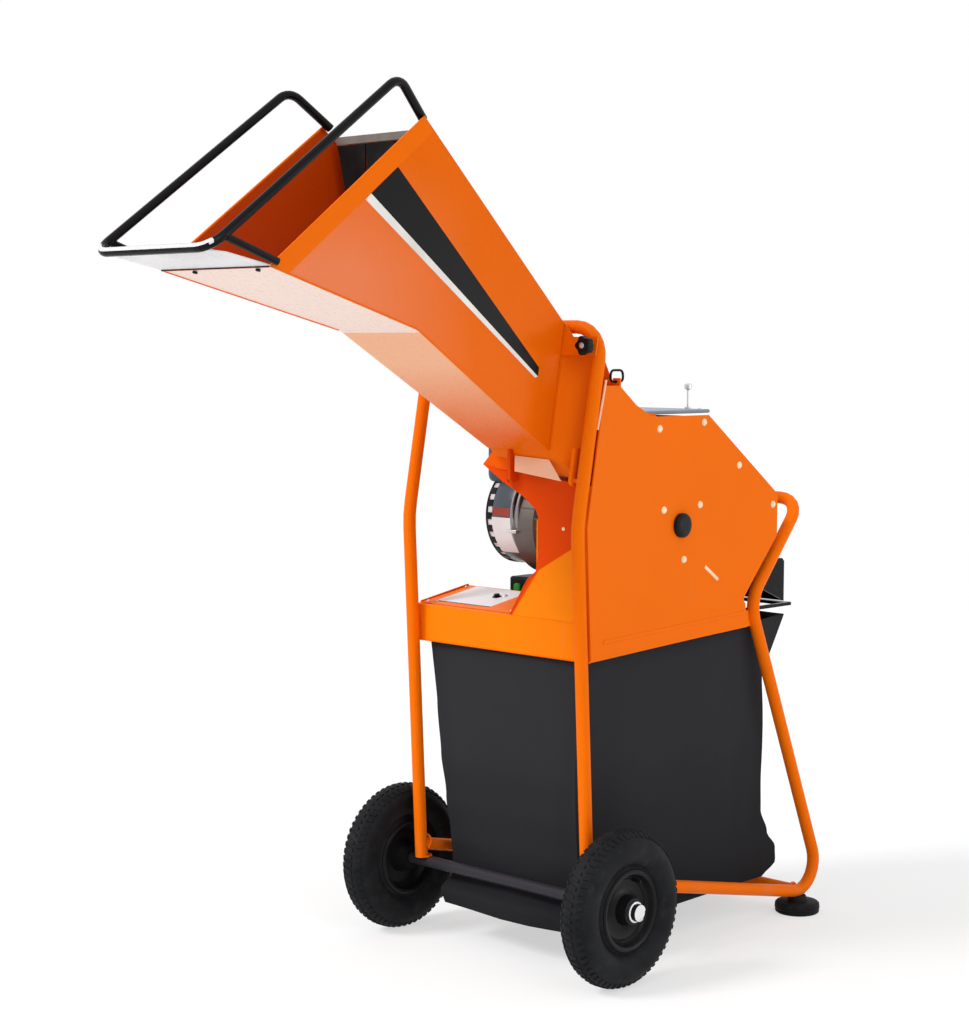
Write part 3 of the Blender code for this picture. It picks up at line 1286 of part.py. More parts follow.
def feed_curtain():
    """Rubber strips that hang inside the mouth from a clamp strip."""
    y = MOUTH_TOP[0] + CLAMP_THICKNESS / 2 + 2 * SHEET
    top = MOUTH_TOP[1] - CLAMP_DROP
    right = MOUTH_HALF - SHEET - CURTAIN_FROM_NEAR
    left = -MOUTH_HALF + MOUTH_NARROWING + SHEET + CURTAIN_FROM_FAR
    clamp = block((left, y - CLAMP_THICKNESS / 2, top - CLAMP_HEIGHT), (right, y, top))
    add_piece("curtain_clamp", clamp, ZINC, on="hopper_axis")
    pitch = (right - left) / CURTAIN_FLAPS
    hinge_z = top - CLAMP_HEIGHT - GAP
    for k in range(CURTAIN_FLAPS):
        name = "curtain_flap_%d" % (k + 1)
        low = left + k * pitch + CURTAIN_PLAY
        high = low + pitch - 2 * CURTAIN_PLAY
        middle_y = y - CURTAIN_THICKNESS / 2
        add_axis(name + "_axis", (low, middle_y, hinge_z), parent="hopper_axis")
        tuck = CURTAIN_TAPER if k == 0 else 0.0
        head = hinge_z - CURTAIN_PLAY
        base = head - CURTAIN_LENGTH
        outline = [(low, head), (high, head), (high, base), (low + tuck, base)]
        strip = slab(outline, middle_y - CURTAIN_THICKNESS / 2,
                     middle_y + CURTAIN_THICKNESS / 2, 'Y')
        add_piece(name, strip, RUBBER, on=name + "_axis")


# Bag and rear hood

def bag_rings():
    """Sections of the bag from the mouth down: height, half width, front and back."""
    front = BODY_FRONT + BAG_FRONT_GAP
    behind_axle = AXLE_SETBACK + AXLE_RADIUS + BAG_AXLE_GAP
    levels = [(TRAY_BOTTOM, BAG_TOP_HALF, front, BAG_BACK)]
    for drop, narrowing, back in BAG_LEVELS:
        height = TRAY_BOTTOM - drop
        low = front if height > 2 * WHEEL_RADIUS else behind_axle
        levels.append((height, BAG_TOP_HALF - narrowing, low, back))
    return [cut_corners(half, low, high, z if k else None)
            for k, (z, half, low, high) in enumerate(levels)]


def cut_corners(half, low, high, height=None, drop=0.001):
    """Rectangle with cut corners. With no height it follows under the tray."""
    c = BAG_CORNER
    spots = [(half, low + c), (half, high - c), (half - c, high), (c - half, high),
             (-half, high - c), (-half, low + c), (c - half, low), (half - c, low)]
    if height is None:
        return [(x, y, tray_bottom(y) - drop) for x, y in spots]
    return [(x, y, height) for x, y in spots]


def bag():
    shape = funnel(bag_rings())
    edges = [e for e in shape.edges if e.is_boundary]
    low = min(v.co.z for v in shape.verts) + 0.001
    bottom = [e for e in edges if all(v.co.z < low for v in e.verts)]
    bmesh.ops.holes_fill(shape, edges=bottom, sides=0)
    piece = add_piece("collecting_bag", shape, FABRIC, on="bag_axis")
    thicken(piece, BAG_CLOTH)
    return piece


def bag_hanger():
    """Wire frame inside the bag's hem."""
    inset = BAG_CLOTH + 3 * HANGER_RADIUS
    ring = cut_corners(BAG_TOP_HALF - inset, BODY_FRONT + BAG_FRONT_GAP + inset,
                       BAG_BACK - inset, drop=0.010)
    points = [Vector(p) for p in ring]
    shape = rod(points, HANGER_RADIUS, 8, closed=True)
    return add_piece("bag_hanger", shape, ZINC, on="bag_axis", smooth=True)


def bag_rail():
    """Galvanised rail behind the tray that the bag's rear edge slides under."""
    width, height = RAIL_SECTION
    outer = RAIL_HALF
    inner = RAIL_HALF - width
    front = TRAY_BACK + GAP
    back = RAIL_BACK
    outline = [(outer, front), (outer, back), (-outer, back), (-outer, front), (-inner, front),
               (-inner, back - 2 * width), (inner, back - 2 * width), (inner, front)]
    shape = slab(outline, RAIL_TOP - height, RAIL_TOP, 'Z')
    return add_piece("bag_rail", shape, ZINC)


def rear_hood():
    """Hinged black hood that guides the chips down into the bag."""
    y, z = HOOD_HINGE
    back = HOOD_BACK
    roof = z - SHEET
    edge = 3 * SHEET
    outer = [(y, roof), (back - edge, roof), (back, roof - edge), (back, HOOD_BOTTOM),
             (y, HOOD_BOTTOM + HOOD_FRONT_RISE)]
    piece = add_piece("rear_hood", slab(outer, -HOOD_HALF, HOOD_HALF, 'X'), BLACK_PAINT,
                      on="hood_axis")
    past = 0.020
    inner = [(y - past, roof - SHEET), (back - edge, roof - SHEET),
             (back - SHEET, roof - edge - SHEET / 2), (back - SHEET, HOOD_BOTTOM - past),
             (y - past, HOOD_BOTTOM - past)]
    hollow = slab(inner, -HOOD_HALF + SHEET, HOOD_HALF - SHEET, 'X')
    cut(piece, "hood_hollow", hollow)
    knuckle = drum(HOOD_KNUCKLE, -HOOD_HALF, HOOD_HALF, (y, z), 16)
    join(piece, "hood_knuckle", knuckle)
    cut(piece, "hood_bore", drum(HOOD_ROD + GAP, -HOOD_HALF - GAP, HOOD_HALF + GAP, (y, z), 16))
    rod_piece = add_piece("hood_rod", drum(HOOD_ROD, -FRAME_HALF, FRAME_HALF, (y, z), 16),
                          ZINC, smooth=True)
    cut(rod_piece, "rod_cope", rod(rear_points(), TUBE_RADIUS + GAP))


def lifting_ring():
    """D-shaped wire ring that swings in the lug on the side plate."""
    x = RING_X
    y = RING_Y
    z = BODY_PEAK + RING_HEIGHT
    half = RING_SPAN / 2
    low = [(y - half, z), (y + half, z)]
    high = arc((y, z + RING_RISE - half * 0.6), half * 1.0, 20, 160, 8)
    points = [Vector((x, a, b)) for a, b in [low[0], (y, z), low[1]] + high]
    add_axis("ring_axis", (x, y, z))
    ring = rod(points, RING_RADIUS, 8, closed=True)
    return add_piece("lifting_ring", ring, CHROME, on="ring_axis", smooth=True)


def centre_on_footprint():
    """Move the carrying empty so that the origin is the middle of the whole footprint."""
    bpy.context.view_layer.update()
    graph = bpy.context.evaluated_depsgraph_get()
    lows = Vector((10.0, 10.0, 10.0))
    highs = -lows
    for thing in SCENE.objects:
        if thing.type != 'MESH' or thing.hide_render:
            continue
        shown = thing.evaluated_get(graph)
        for vertex in shown.data.vertices:
            spot = shown.matrix_world @ vertex.co
            for k in range(3):
                lows[k] = min(lows[k], spot[k])
                highs[k] = max(highs[k], spot[k])
    middle = (lows + highs) / 2
    bpy.data.objects["machine"].location = (-middle.x, -middle.y, -lows.z)


def build():
    start_empty()
    add_axis("machine", (0, 0, 0), parent=None)
    add_axis("hopper_axis", (0, PIVOT_Y, PIVOT_HEIGHT))
    add_axis("hood_axis", (0, *HOOD_HINGE))
    add_axis("bag_axis", (0, 0, 0))
    front_hoop()
    rear_frame()
    cross_tube()
    feet()
    axle()
    wheels()
    tray()
    deck_plate()
    side_plate()
    chamber_plate()
    neck_front()
    chamber_cover()
    inlet_funnel()
    anvil()
    sieve()
    hub_cap()
    bearings()
    drive()
    motor()
    control_box()
    switch_box()
    hopper_body()
    hopper_flange()
    hopper_neck()
    hinge_cheeks()
    lock_knob()
    safety_bar()
    lip_plate()
    feed_curtain()
    bag()
    bag_hanger()
    bag_rail()
    rear_hood()
    lifting_ring()
    centre_on_footprint()


build()
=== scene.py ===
"""Garden shredder: finishes, detail pieces, floor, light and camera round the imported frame."""
import math

import bmesh
import bpy
from mathutils import Matrix, Vector, noise


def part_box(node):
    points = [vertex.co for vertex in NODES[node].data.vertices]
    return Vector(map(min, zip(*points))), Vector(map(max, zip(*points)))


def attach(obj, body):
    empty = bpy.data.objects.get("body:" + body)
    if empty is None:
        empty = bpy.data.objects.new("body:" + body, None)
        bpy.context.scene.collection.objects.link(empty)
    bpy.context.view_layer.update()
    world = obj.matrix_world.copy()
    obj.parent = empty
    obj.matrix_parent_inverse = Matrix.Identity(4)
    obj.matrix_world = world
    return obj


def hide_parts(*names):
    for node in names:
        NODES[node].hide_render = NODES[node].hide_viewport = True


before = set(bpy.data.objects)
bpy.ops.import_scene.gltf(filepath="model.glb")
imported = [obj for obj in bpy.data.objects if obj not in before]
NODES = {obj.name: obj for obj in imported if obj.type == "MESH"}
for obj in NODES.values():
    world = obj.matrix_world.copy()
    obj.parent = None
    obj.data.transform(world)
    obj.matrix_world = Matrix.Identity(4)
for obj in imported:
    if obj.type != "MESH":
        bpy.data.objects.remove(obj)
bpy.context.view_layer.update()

# The solids' own sizes that the detail follows, in metres from the floor point under the axle
AXLE_SETBACK = 0.006
SHIFT = (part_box("axle")[0].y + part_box("axle")[1].y) / 2 - AXLE_SETBACK
WHEEL_RADIUS = 0.1285
WHEEL_BORE = 0.0108
RIM_LIP = 0.0235
TYRE_HALF = 0.0295
TYRE_BASE = 0.0672
LUG_COUNT = 62
HUB = (0.215, 0.731)
FRAME_HALF = 0.193
TUBE = 0.011
WELD_RIPPLES = 26.0
MOTOR_INSIDE = 0.0782
BAND_RADIUS = 0.0885
SUMP_DROP = 0.0125


def spot(x, y, z):
    """A point given from the floor under the axle, in the frame's own metres."""
    return Vector((x, y + SHIFT, z))


# Finishes

class Number:
    """A number that varies over a surface. Python's operators add Math nodes."""

    def __init__(self, paint, socket):
        self.paint = paint
        self.socket = socket

    def math(self, operation, other=0.0, swapped=False):
        first, second = (other, self) if swapped else (self, other)
        made = self.paint.node("ShaderNodeMath", {"operation": operation}, {0: first, 1: second})
        return Number(self.paint, made.outputs[0])

    def __add__(self, other):
        return self.math("ADD", other)

    def __radd__(self, other):
        return self.math("ADD", other)

    def __sub__(self, other):
        return self.math("SUBTRACT", other)

    def __rsub__(self, other):
        return self.math("SUBTRACT", other, swapped=True)

    def __mul__(self, other):
        return self.math("MULTIPLY", other)

    def __rmul__(self, other):
        return self.math("MULTIPLY", other)

    def over(self, edge):
        """1 where the number is above the edge, else 0."""
        return self.math("GREATER_THAN", edge)

    def sine(self):
        return self.math("SINE")

    def ramp(self, low, high):
        """0 at low, 1 at high, straight in between."""
        made = self.paint.node("ShaderNodeMapRange", {"clamp": True},
                               {"Value": self, "From Min": low, "From Max": high})
        return Number(self.paint, made.outputs[0])


class Paint:
    """One procedural material round a Principled shader."""

    def __init__(self, name, colour, roughness, metallic=0.0, **fixed):
        self.material = bpy.data.materials.new(name)
        self.material.use_nodes = True
        self.tree = self.material.node_tree
        self.shader = self.tree.nodes["Principled BSDF"]
        self.colour = (*colour, 1.0)
        self.set("Base Color", self.colour)
        self.set("Roughness", roughness)
        self.set("Metallic", metallic)
        for key, value in fixed.items():
            self.set(key.replace("_", " "), value)
        self.place = self.node("ShaderNodeTexCoord").outputs["Object"]
        self.material.diffuse_color = self.colour

    def feed(self, socket, value):
        if isinstance(value, Number):
            value = value.socket
        if isinstance(value, bpy.types.NodeSocket):
            self.tree.links.new(value, socket)
        else:
            socket.default_value = value

    def node(self, kind, settings=None, sockets=None):
        made = self.tree.nodes.new(kind)
        for key, value in (settings or {}).items():
            setattr(made, key, value)
        for key, value in (sockets or {}).items():
            self.feed(made.inputs[key], value)
        return made

    def set(self, name, value):
        self.feed(self.shader.inputs[name], value)

    def stretched(self, x, y, z):
        """Object coordinates scaled by x, y and z."""
        made = self.node("ShaderNodeMapping", None, {"Vector": self.place, "Scale": (x, y, z)})
        return made.outputs[0]

    def noise(self, scale, detail, place=None):
        made = self.node("ShaderNodeTexNoise", None,
                         {"Vector": place or self.place, "Scale": scale, "Detail": detail})
        return Number(self, made.outputs[0])

    def cells(self, scale):
        made = self.node("ShaderNodeTexVoronoi", None, {"Vector": self.place, "Scale": scale})
        return Number(self, made.outputs["Distance"])

    def axis(self, letter, place=None):
        made = self.node("ShaderNodeSeparateXYZ", None, {0: place or self.place})
        return Number(self, made.outputs[letter])

    def facing(self, letter):
        """One part of the surface's direction, in the piece's own frame."""
        normal = self.node("ShaderNodeNewGeometry").outputs["Normal"]
        made = self.node("ShaderNodeVectorTransform", {"vector_type": 'NORMAL', "convert_from":
                         'WORLD', "convert_to": 'OBJECT'}, {0: normal})
        return self.axis(letter, made.outputs[0])

    def mix(self, factor, first, second):
        made = self.node("ShaderNodeMix", {"data_type": 'RGBA'}, {0: factor, 6: first, 7: second})
        return made.outputs[2]

    def bump(self, height, depth, strength):
        made = self.node("ShaderNodeBump", None,
                         {"Height": height, "Distance": depth, "Strength": strength})
        self.set("Normal", made.outputs[0])


def shade(colour, factor):
    return tuple(min(1.0, c * factor) for c in colour[:3]) + (1.0,)


def orange_paint(name, colour=(0.90, 0.158, 0.001), gloss=0.32, dusty=True, shadow=None):
    """Powder-coated steel: light mottle, orange peel, scuffs and dust low down. A last function
    adds painted light and shade on some pieces, and the bare panel on the deck.
    """
    paint = Paint(name, colour, gloss, Specular_IOR_Level=0.04)
    broad = paint.noise(3.5, 3.0)
    fine = paint.noise(160.0, 2.0)
    tone = paint.mix(broad.ramp(0.3, 0.7), shade(colour, 0.97), shade(colour, 1.03))
    scuff = paint.noise(46.0, 6.0, paint.stretched(1.0, 1.0, 0.35)).ramp(0.68, 0.76)
    tone = paint.mix(scuff * 0.08, tone, (0.62, 0.30, 0.14, 1.0))
    if dusty:
        low = (0.20 - paint.axis("Z")).ramp(0.0, 0.20)
        dust = low * paint.noise(18.0, 5.0).ramp(0.45, 0.75)
        tone = paint.mix(dust * 0.15, tone, (0.42, 0.36, 0.28, 1.0))
    # Painted shade and painted reflections on the hopper and the neck, and the bare panel on the
    # deck.
    if shadow:
        tone = shadow(paint, tone)
    paint.set("Base Color", tone)
    paint.set("Roughness", fine * 0.06 + scuff * 0.12 + (gloss - 0.03))
    paint.bump(paint.noise(420.0, 1.0), 0.00012, 0.5)
    return paint.material


def painted_hopper_light(paint, tone):
    """Painted light on the hopper: painted shade on its inner faces, and a painted reflection of
    the floor's light on its underside and on the near panel's low front.
    """
    across = paint.facing("X")
    up = paint.facing("Z")
    y = paint.axis("Y") - SHIFT
    under = (up + 0.4).math("LESS_THAN", 0.0)
    # Painted reflection of the floor on the underside: salmon, near white towards the lip.
    tone = paint.mix(under * (-0.06 - y).ramp(0.0, 0.18) * 0.92, tone, (1.0, 0.56, 0.34, 1.0))
    tone = paint.mix(under * (-0.315 - y).over(0.0), tone, (1.0, 0.80, 0.71, 1.0))
    # A faint painted reflection on the near panel's low front.
    side = across.over(0.5) * (-0.20 - y).ramp(0.0, 0.25) * (1.30 - paint.axis("Z")).ramp(0.0, 0.16)
    tone = paint.mix(side * 0.20, tone, (0.95, 0.55, 0.42, 1.0))
    # Painted shade on the far wall's inner face and on the upward faces inside.
    far_wall = across.over(0.3) * (0.1 - paint.axis("X")).over(0.0)
    inner = far_wall.math("MAXIMUM", up.over(0.8))
    return paint.mix(inner * 0.9, tone, (0.50, 0.045, 0.001, 1.0))


def painted_neck_shading(paint, tone):
    """The neck's bent sheet in painted light and shade: the coat's shaded red-orange over the
    front, and the lit orange where it turns to the near side and to the tray.
    """
    x = paint.axis("X")
    z = paint.axis("Z")
    edge = z.ramp(0.584, 0.6636) * 0.060 + z.ramp(0.6636, 0.7027) * 0.0712 + 0.027
    edge = edge + z.ramp(0.7027, 0.7805) * 0.0101 + z.ramp(0.7805, 0.8134) * 0.0189
    turned = (x - edge).ramp(0.0, 0.004)
    return paint.mix(turned, tone, (0.92, 0.22, 0.003, 1.0))


def bare_panel(paint, tone):
    """The deck plate's bare white panel, with painted edges left round it."""
    x = paint.axis("X")
    y = paint.axis("Y")
    panel = x.over(-0.178) * (-0.050 - x).over(0.0) * y.over(SHIFT + 0.016)
    return paint.mix(panel * (SHIFT + 0.117 - y).over(0.0), tone, (0.80, 0.80, 0.82, 1.0))


def painted_bar_highlight(paint, tone):
    """A painted highlight: a pale band along the top of the safety bar's front run."""
    up = paint.facing("Z")
    band = up.over(0.0) * (0.80 - up).over(0.0) * (SHIFT - 0.716 - paint.axis("Y")).over(0.0)
    return paint.mix(band, tone, (0.75, 0.75, 0.77, 1.0))


def black_paint(name, colour=(0.004, 0.004, 0.005), gloss=0.22, painted_light=None):
    paint = Paint(name, colour, gloss, Specular_IOR_Level=0.12)
    scuff = paint.noise(60.0, 5.0).ramp(0.66, 0.76)
    tone = paint.mix(scuff * 0.2, shade(colour, 1.0), (0.03, 0.03, 0.033, 1.0))
    # A last function may paint in a highlight.
    paint.set("Base Color", painted_light(paint, tone) if painted_light else tone)
    paint.set("Roughness", paint.noise(14.0, 3.0) * 0.10 + scuff * 0.15 + (gloss - 0.05))
    paint.bump(paint.noise(380.0, 1.0), 0.00012, 0.5)
    return paint.material


def moulded(name, colour, gloss):
    """Moulded plastic with a fine spark-eroded grain."""
    paint = Paint(name, colour, gloss, Specular_IOR_Level=0.12)
    broad = paint.noise(9.0, 4.0)
    rub = paint.noise(38.0, 5.0).ramp(0.60, 0.75)
    tone = paint.mix(broad.ramp(0.3, 0.7), shade(colour, 0.88), shade(colour, 1.12))
    paint.set("Base Color", paint.mix(rub * 0.12, tone, shade((*[c + 0.05 for c in colour],), 1.6)))
    paint.set("Roughness", broad * 0.10 + rub * 0.08 + (gloss - 0.06))
    paint.bump(paint.noise(520.0, 2.0), 0.00015, 0.7)
    return paint.material


def tyre_rubber(name, colour=(0.010, 0.0105, 0.012)):
    """Tyre rubber, a little grey where the lugs wear."""
    paint = Paint(name, colour, 0.7, Specular_IOR_Level=0.10)
    broad = paint.noise(30.0, 4.0)
    grit = paint.noise(240.0, 4.0)
    dust = paint.noise(55.0, 5.0).ramp(0.52, 0.74)
    tone = paint.mix(broad.ramp(0.35, 0.65), shade(colour, 0.8), shade(colour, 1.3))
    paint.set("Base Color", paint.mix(dust * 0.15, tone, (0.060, 0.059, 0.058, 1.0)))
    paint.set("Roughness", grit * 0.20 + 0.52)
    paint.bump(grit * 0.6 + broad * 0.4, 0.0004, 0.5)
    return paint.material


def soft_rubber(name, colour=(0.004, 0.004, 0.005)):
    paint = Paint(name, colour, 0.5, Specular_IOR_Level=0.12)
    bloom = paint.noise(24.0, 5.0).ramp(0.50, 0.80)
    paint.set("Base Color", paint.mix(bloom * 0.25, shade(colour, 1.0), (0.04, 0.04, 0.039, 1.0)))
    paint.set("Roughness", paint.noise(90.0, 3.0) * 0.20 + 0.38)
    paint.bump(paint.noise(300.0, 3.0), 0.0003, 0.5)
    return paint.material


def bare_metal(name, colour=(0.56, 0.57, 0.58), gloss=0.32, lines=(1.0, 14.0, 1.0)):
    """Machined or brushed steel with fine lines along one way."""
    paint = Paint(name, colour, gloss, 1.0)
    lined = paint.noise(60.0, 6.0, paint.stretched(*lines))
    stain = paint.noise(12.0, 5.0).ramp(0.5, 0.8)
    paint.set("Base Color", paint.mix(stain * 0.35, shade(colour, 1.0), shade(colour, 0.62)))
    paint.set("Roughness", lined * 0.22 + stain * 0.10 + (gloss - 0.10))
    paint.bump(lined, 0.00012, 0.5)
    return paint.material


def zinc_plate(name, colour=(0.60, 0.61, 0.62), tint=(0.66, 0.58, 0.40)):
    """Zinc plating with its patchy spangle and a faint yellow passivation."""
    paint = Paint(name, colour, 0.35, 0.95)
    spangle = paint.cells(170.0).ramp(0.0, 0.6)
    patch = paint.noise(20.0, 4.0).ramp(0.45, 0.70)
    tone = paint.mix(spangle, shade(colour, 0.80), shade(colour, 1.10))
    paint.set("Base Color", paint.mix(patch * 0.5, tone, (*tint, 1.0)))
    paint.set("Roughness", spangle * 0.15 + patch * 0.08 + 0.26)
    paint.bump(spangle, 0.00008, 0.5)
    return paint.material


def bright_chrome(name):
    colour = (0.78, 0.79, 0.80)
    paint = Paint(name, colour, 0.08, 1.0)
    haze = paint.noise(35.0, 4.0).ramp(0.5, 0.8)
    paint.set("Base Color", paint.mix(haze * 0.3, shade(colour, 1.0), shade(colour, 0.78)))
    paint.set("Roughness", haze * 0.12 + 0.05)
    return paint.material


def cast_metal(name, colour=(0.27, 0.255, 0.24)):
    paint = Paint(name, colour, 0.5, 0.75)
    sand = paint.noise(330.0, 3.0)
    grime = paint.noise(17.0, 5.0).ramp(0.45, 0.70)
    paint.set("Base Color", paint.mix(grime * 0.55, shade(colour, 1.1), (0.12, 0.095, 0.075, 1.0)))
    paint.set("Roughness", sand * 0.20 + grime * 0.15 + 0.32)
    paint.bump(sand, 0.0004, 0.7)
    return paint.material


def woven_cloth(name, colour=(0.024, 0.024, 0.027)):
    """Coated woven cloth. The weave follows the piece's own UV map, in metres."""
    paint = Paint(name, colour, 0.9, Specular_IOR_Level=0.10)
    unrolled = paint.node("ShaderNodeUVMap").outputs[0]
    turns = 2.0 * math.pi / THREAD
    warp = (paint.axis("X", unrolled) * turns).sine()
    weft = (paint.axis("Y", unrolled) * turns).sine()
    weave = warp * weft * 0.5 + 0.5
    fuzz = paint.noise(500.0, 3.0)
    fade = paint.noise(5.0, 4.0).ramp(0.35, 0.70)
    tone = paint.mix(weave, shade(colour, 0.85), shade(colour, 1.15))
    tone = paint.mix(fade * 0.4, tone, shade(colour, 1.3))
    # Painted shade: the cloth darker towards the bottom, under the axle.
    low = (0.36 - paint.axis("Z")).ramp(0.0, 0.26)
    paint.set("Base Color", paint.mix(low * 0.6, tone, shade(colour, 0.35)))
    paint.set("Roughness", fuzz * 0.12 + 0.80)
    paint.bump(weave * 0.7 + fuzz * 0.3, 0.0004, 0.4)
    return paint.material


THREAD = 0.0028
ORANGE = orange_paint("orange_powder_coat")
# A shaded copy of the orange: painted shade on the inlet funnel, the far hinge cheek and the folded
# edges.
ORANGE_SHADED = orange_paint("orange_powder_coat_shaded", (0.72, 0.070, 0.001), 0.38, False)
# The hopper's coat, a darker copy of the orange, with painted shade inside and a painted reflection
# of the floor underneath.
ORANGE_HOPPER = orange_paint("orange_hopper_coat", (0.84, 0.142, 0.002), 0.28, False, painted_hopper_light)
# A shaded copy of the orange for the neck's front, lifted to a lit orange where the sheet turns.
ORANGE_NECK = orange_paint("orange_neck_coat", (0.74, 0.060, 0.001), 0.34, False, painted_neck_shading)
ORANGE_DECK = orange_paint("orange_deck_coat", (0.90, 0.172, 0.002), 0.34, False, bare_panel)
# A shaded copy of the orange: painted shade on the sheets under the hopper's base.
ORANGE_SKIRT = orange_paint("orange_skirt_coat", (0.80, 0.100, 0.001), 0.34, False)
# A lit copy of the orange, brighter and yellower: painted light on the tray.
ORANGE_TRAY = orange_paint("orange_tray_coat", (0.93, 0.205, 0.002), 0.32)
# A pale copy of the orange for painted highlights on the side plate's front edge and on the neck's
# ledge.
ORANGE_PALE = orange_paint("orange_painted_highlight", (0.94, 0.56, 0.36), 0.40, False)
BOX_GREY = moulded("dark_blue_grey_plastic", (0.070, 0.105, 0.135), 0.40)
BLACK = black_paint("black_gloss_coat")
# The safety bar's black, with a painted highlight along its front run.
BAR_BLACK = black_paint("safety_bar_coat", painted_light=painted_bar_highlight)
RUBBER = tyre_rubber("tyre_rubber_worn")
SOFT_RUBBER = soft_rubber("curtain_rubber")
NYLON = moulded("rim_nylon_grained", (0.008, 0.008, 0.009), 0.34)
CLAMP_METAL = cast_metal("clamp_strip_dark_zinc", (0.20, 0.18, 0.16))
BLACK_PLASTIC = moulded("black_plastic_grained", (0.009, 0.009, 0.010), 0.40)
GREY_PLASTIC = moulded("blue_grey_plastic_grained", (0.25, 0.31, 0.37), 0.42)
GREEN_PLASTIC = moulded("green_button_plastic", (0.02, 0.33, 0.05), 0.30)
RED_PLASTIC = moulded("red_button_plastic", (0.50, 0.03, 0.02), 0.30)
STEEL = bare_metal("machined_steel")
ZINC = zinc_plate("zinc_plated_steel")
CHROME = bright_chrome("bright_chrome_plate")
CAST = cast_metal("cast_motor_metal", (0.13, 0.115, 0.105))
# A lighter copy of the black: painted highlight on the glossy axle.
AXLE_BLACK = black_paint("axle_coat", (0.030, 0.028, 0.034), 0.30)
# Cream plated heads, and also the painted highlight along the side plate's slot.
PALE_PLATE = moulded("pale_plated_heads_and_slot_glint", (0.92, 0.76, 0.50), 0.35)
DARK_STEEL = bare_metal("motor_ring_steel", (0.30, 0.30, 0.31), 0.28)
COWL = black_paint("cowl_blue_grey_coat", (0.085, 0.11, 0.135), 0.25)
COPPER = bare_metal("wound_copper", (0.62, 0.30, 0.14), 0.40, (14.0, 1.0, 1.0))
CLOTH = woven_cloth("bag_cloth_coated")
# White foil for the blank labels, and for the painted highlight behind the cowl's slots.
WHITE_LABEL_AND_HIGHLIGHT = moulded("blank_label_foil_and_white_highlight", (0.86, 0.86, 0.87), 0.30)
RED_BAND = moulded("red_cowl_band", (0.36, 0.07, 0.05), 0.40)
STRIPE_BLACK = black_paint("black_stripe_film", (0.003, 0.003, 0.004), 0.35)
STRIPE_PALE = moulded("pale_stripe_film", (0.80, 0.78, 0.74), 0.30)


# Shapes

def fresh():
    return bmesh.new()


def cube(low, high):
    shape = fresh()
    bmesh.ops.create_cube(shape, size=1.0)
    low = Vector(low)
    high = Vector(high)
    bmesh.ops.scale(shape, verts=shape.verts, vec=high - low)
    bmesh.ops.translate(shape, verts=shape.verts, vec=(low + high) / 2)
    return shape


def cylinder(radius, low, high, segments=32, tip=None):
    """A round bar along its own Z, from low to high."""
    shape = fresh()
    bmesh.ops.create_cone(shape, cap_ends=True, segments=segments, radius1=radius,
                          radius2=radius if tip is None else tip, depth=high - low)
    bmesh.ops.translate(shape, verts=shape.verts, vec=(0, 0, (low + high) / 2))
    return shape


def lathe(profile, segments=64):
    """Spin (distance along, radius) round its own Z."""
    shape = fresh()
    line = [shape.verts.new((r, 0, a)) for a, r in profile]
    edges = [shape.edges.new(pair) for pair in zip(line, line[1:])]
    bmesh.ops.spin(shape, geom=line + edges, cent=(0, 0, 0), axis=(0, 0, 1),
                   angle=math.tau, steps=segments, use_merge=True)
    bmesh.ops.remove_doubles(shape, verts=shape.verts, dist=0.00001)
    return shape


def soften(shape, width, segments=2, sharper=30):
    """Round the edges that are sharper than an angle in degrees."""
    limit = math.radians(sharper)
    edges = [e for e in shape.edges if e.is_manifold and e.calc_face_angle(0) > limit]
    bmesh.ops.bevel(shape, geom=edges, offset=width, segments=segments, affect='EDGES',
                    profile=0.5, material=-1, clamp_overlap=True)
    return shape


def aim(shape, place, along, roll=0.0):
    """Turn a shape's own Z to a direction and carry it to a place."""
    turn = Vector(along).to_track_quat('Z', 'Y').to_matrix().to_4x4()
    move = Matrix.Translation(Vector(place)) @ turn @ Matrix.Rotation(roll, 4, 'Z')
    bmesh.ops.transform(shape, matrix=move, verts=shape.verts)
    return shape


def flat_panel(corners):
    """One flat face through the corners."""
    shape = fresh()
    shape.faces.new([shape.verts.new(place) for place in corners])
    return shape


def pull_out(shape, way):
    """Give flat faces a wall by drawing them out along way."""
    grown = bmesh.ops.extrude_face_region(shape, geom=list(shape.faces))
    moved = [g for g in grown["geom"] if isinstance(g, bmesh.types.BMVert)]
    bmesh.ops.translate(shape, verts=moved, vec=way)
    return shape


def gather(*shapes):
    """Put several shapes in one."""
    whole = fresh()
    for shape in shapes:
        held = bpy.data.meshes.new("held")
        shape.to_mesh(held)
        shape.free()
        whole.from_mesh(held)
        bpy.data.meshes.remove(held)
    return whole


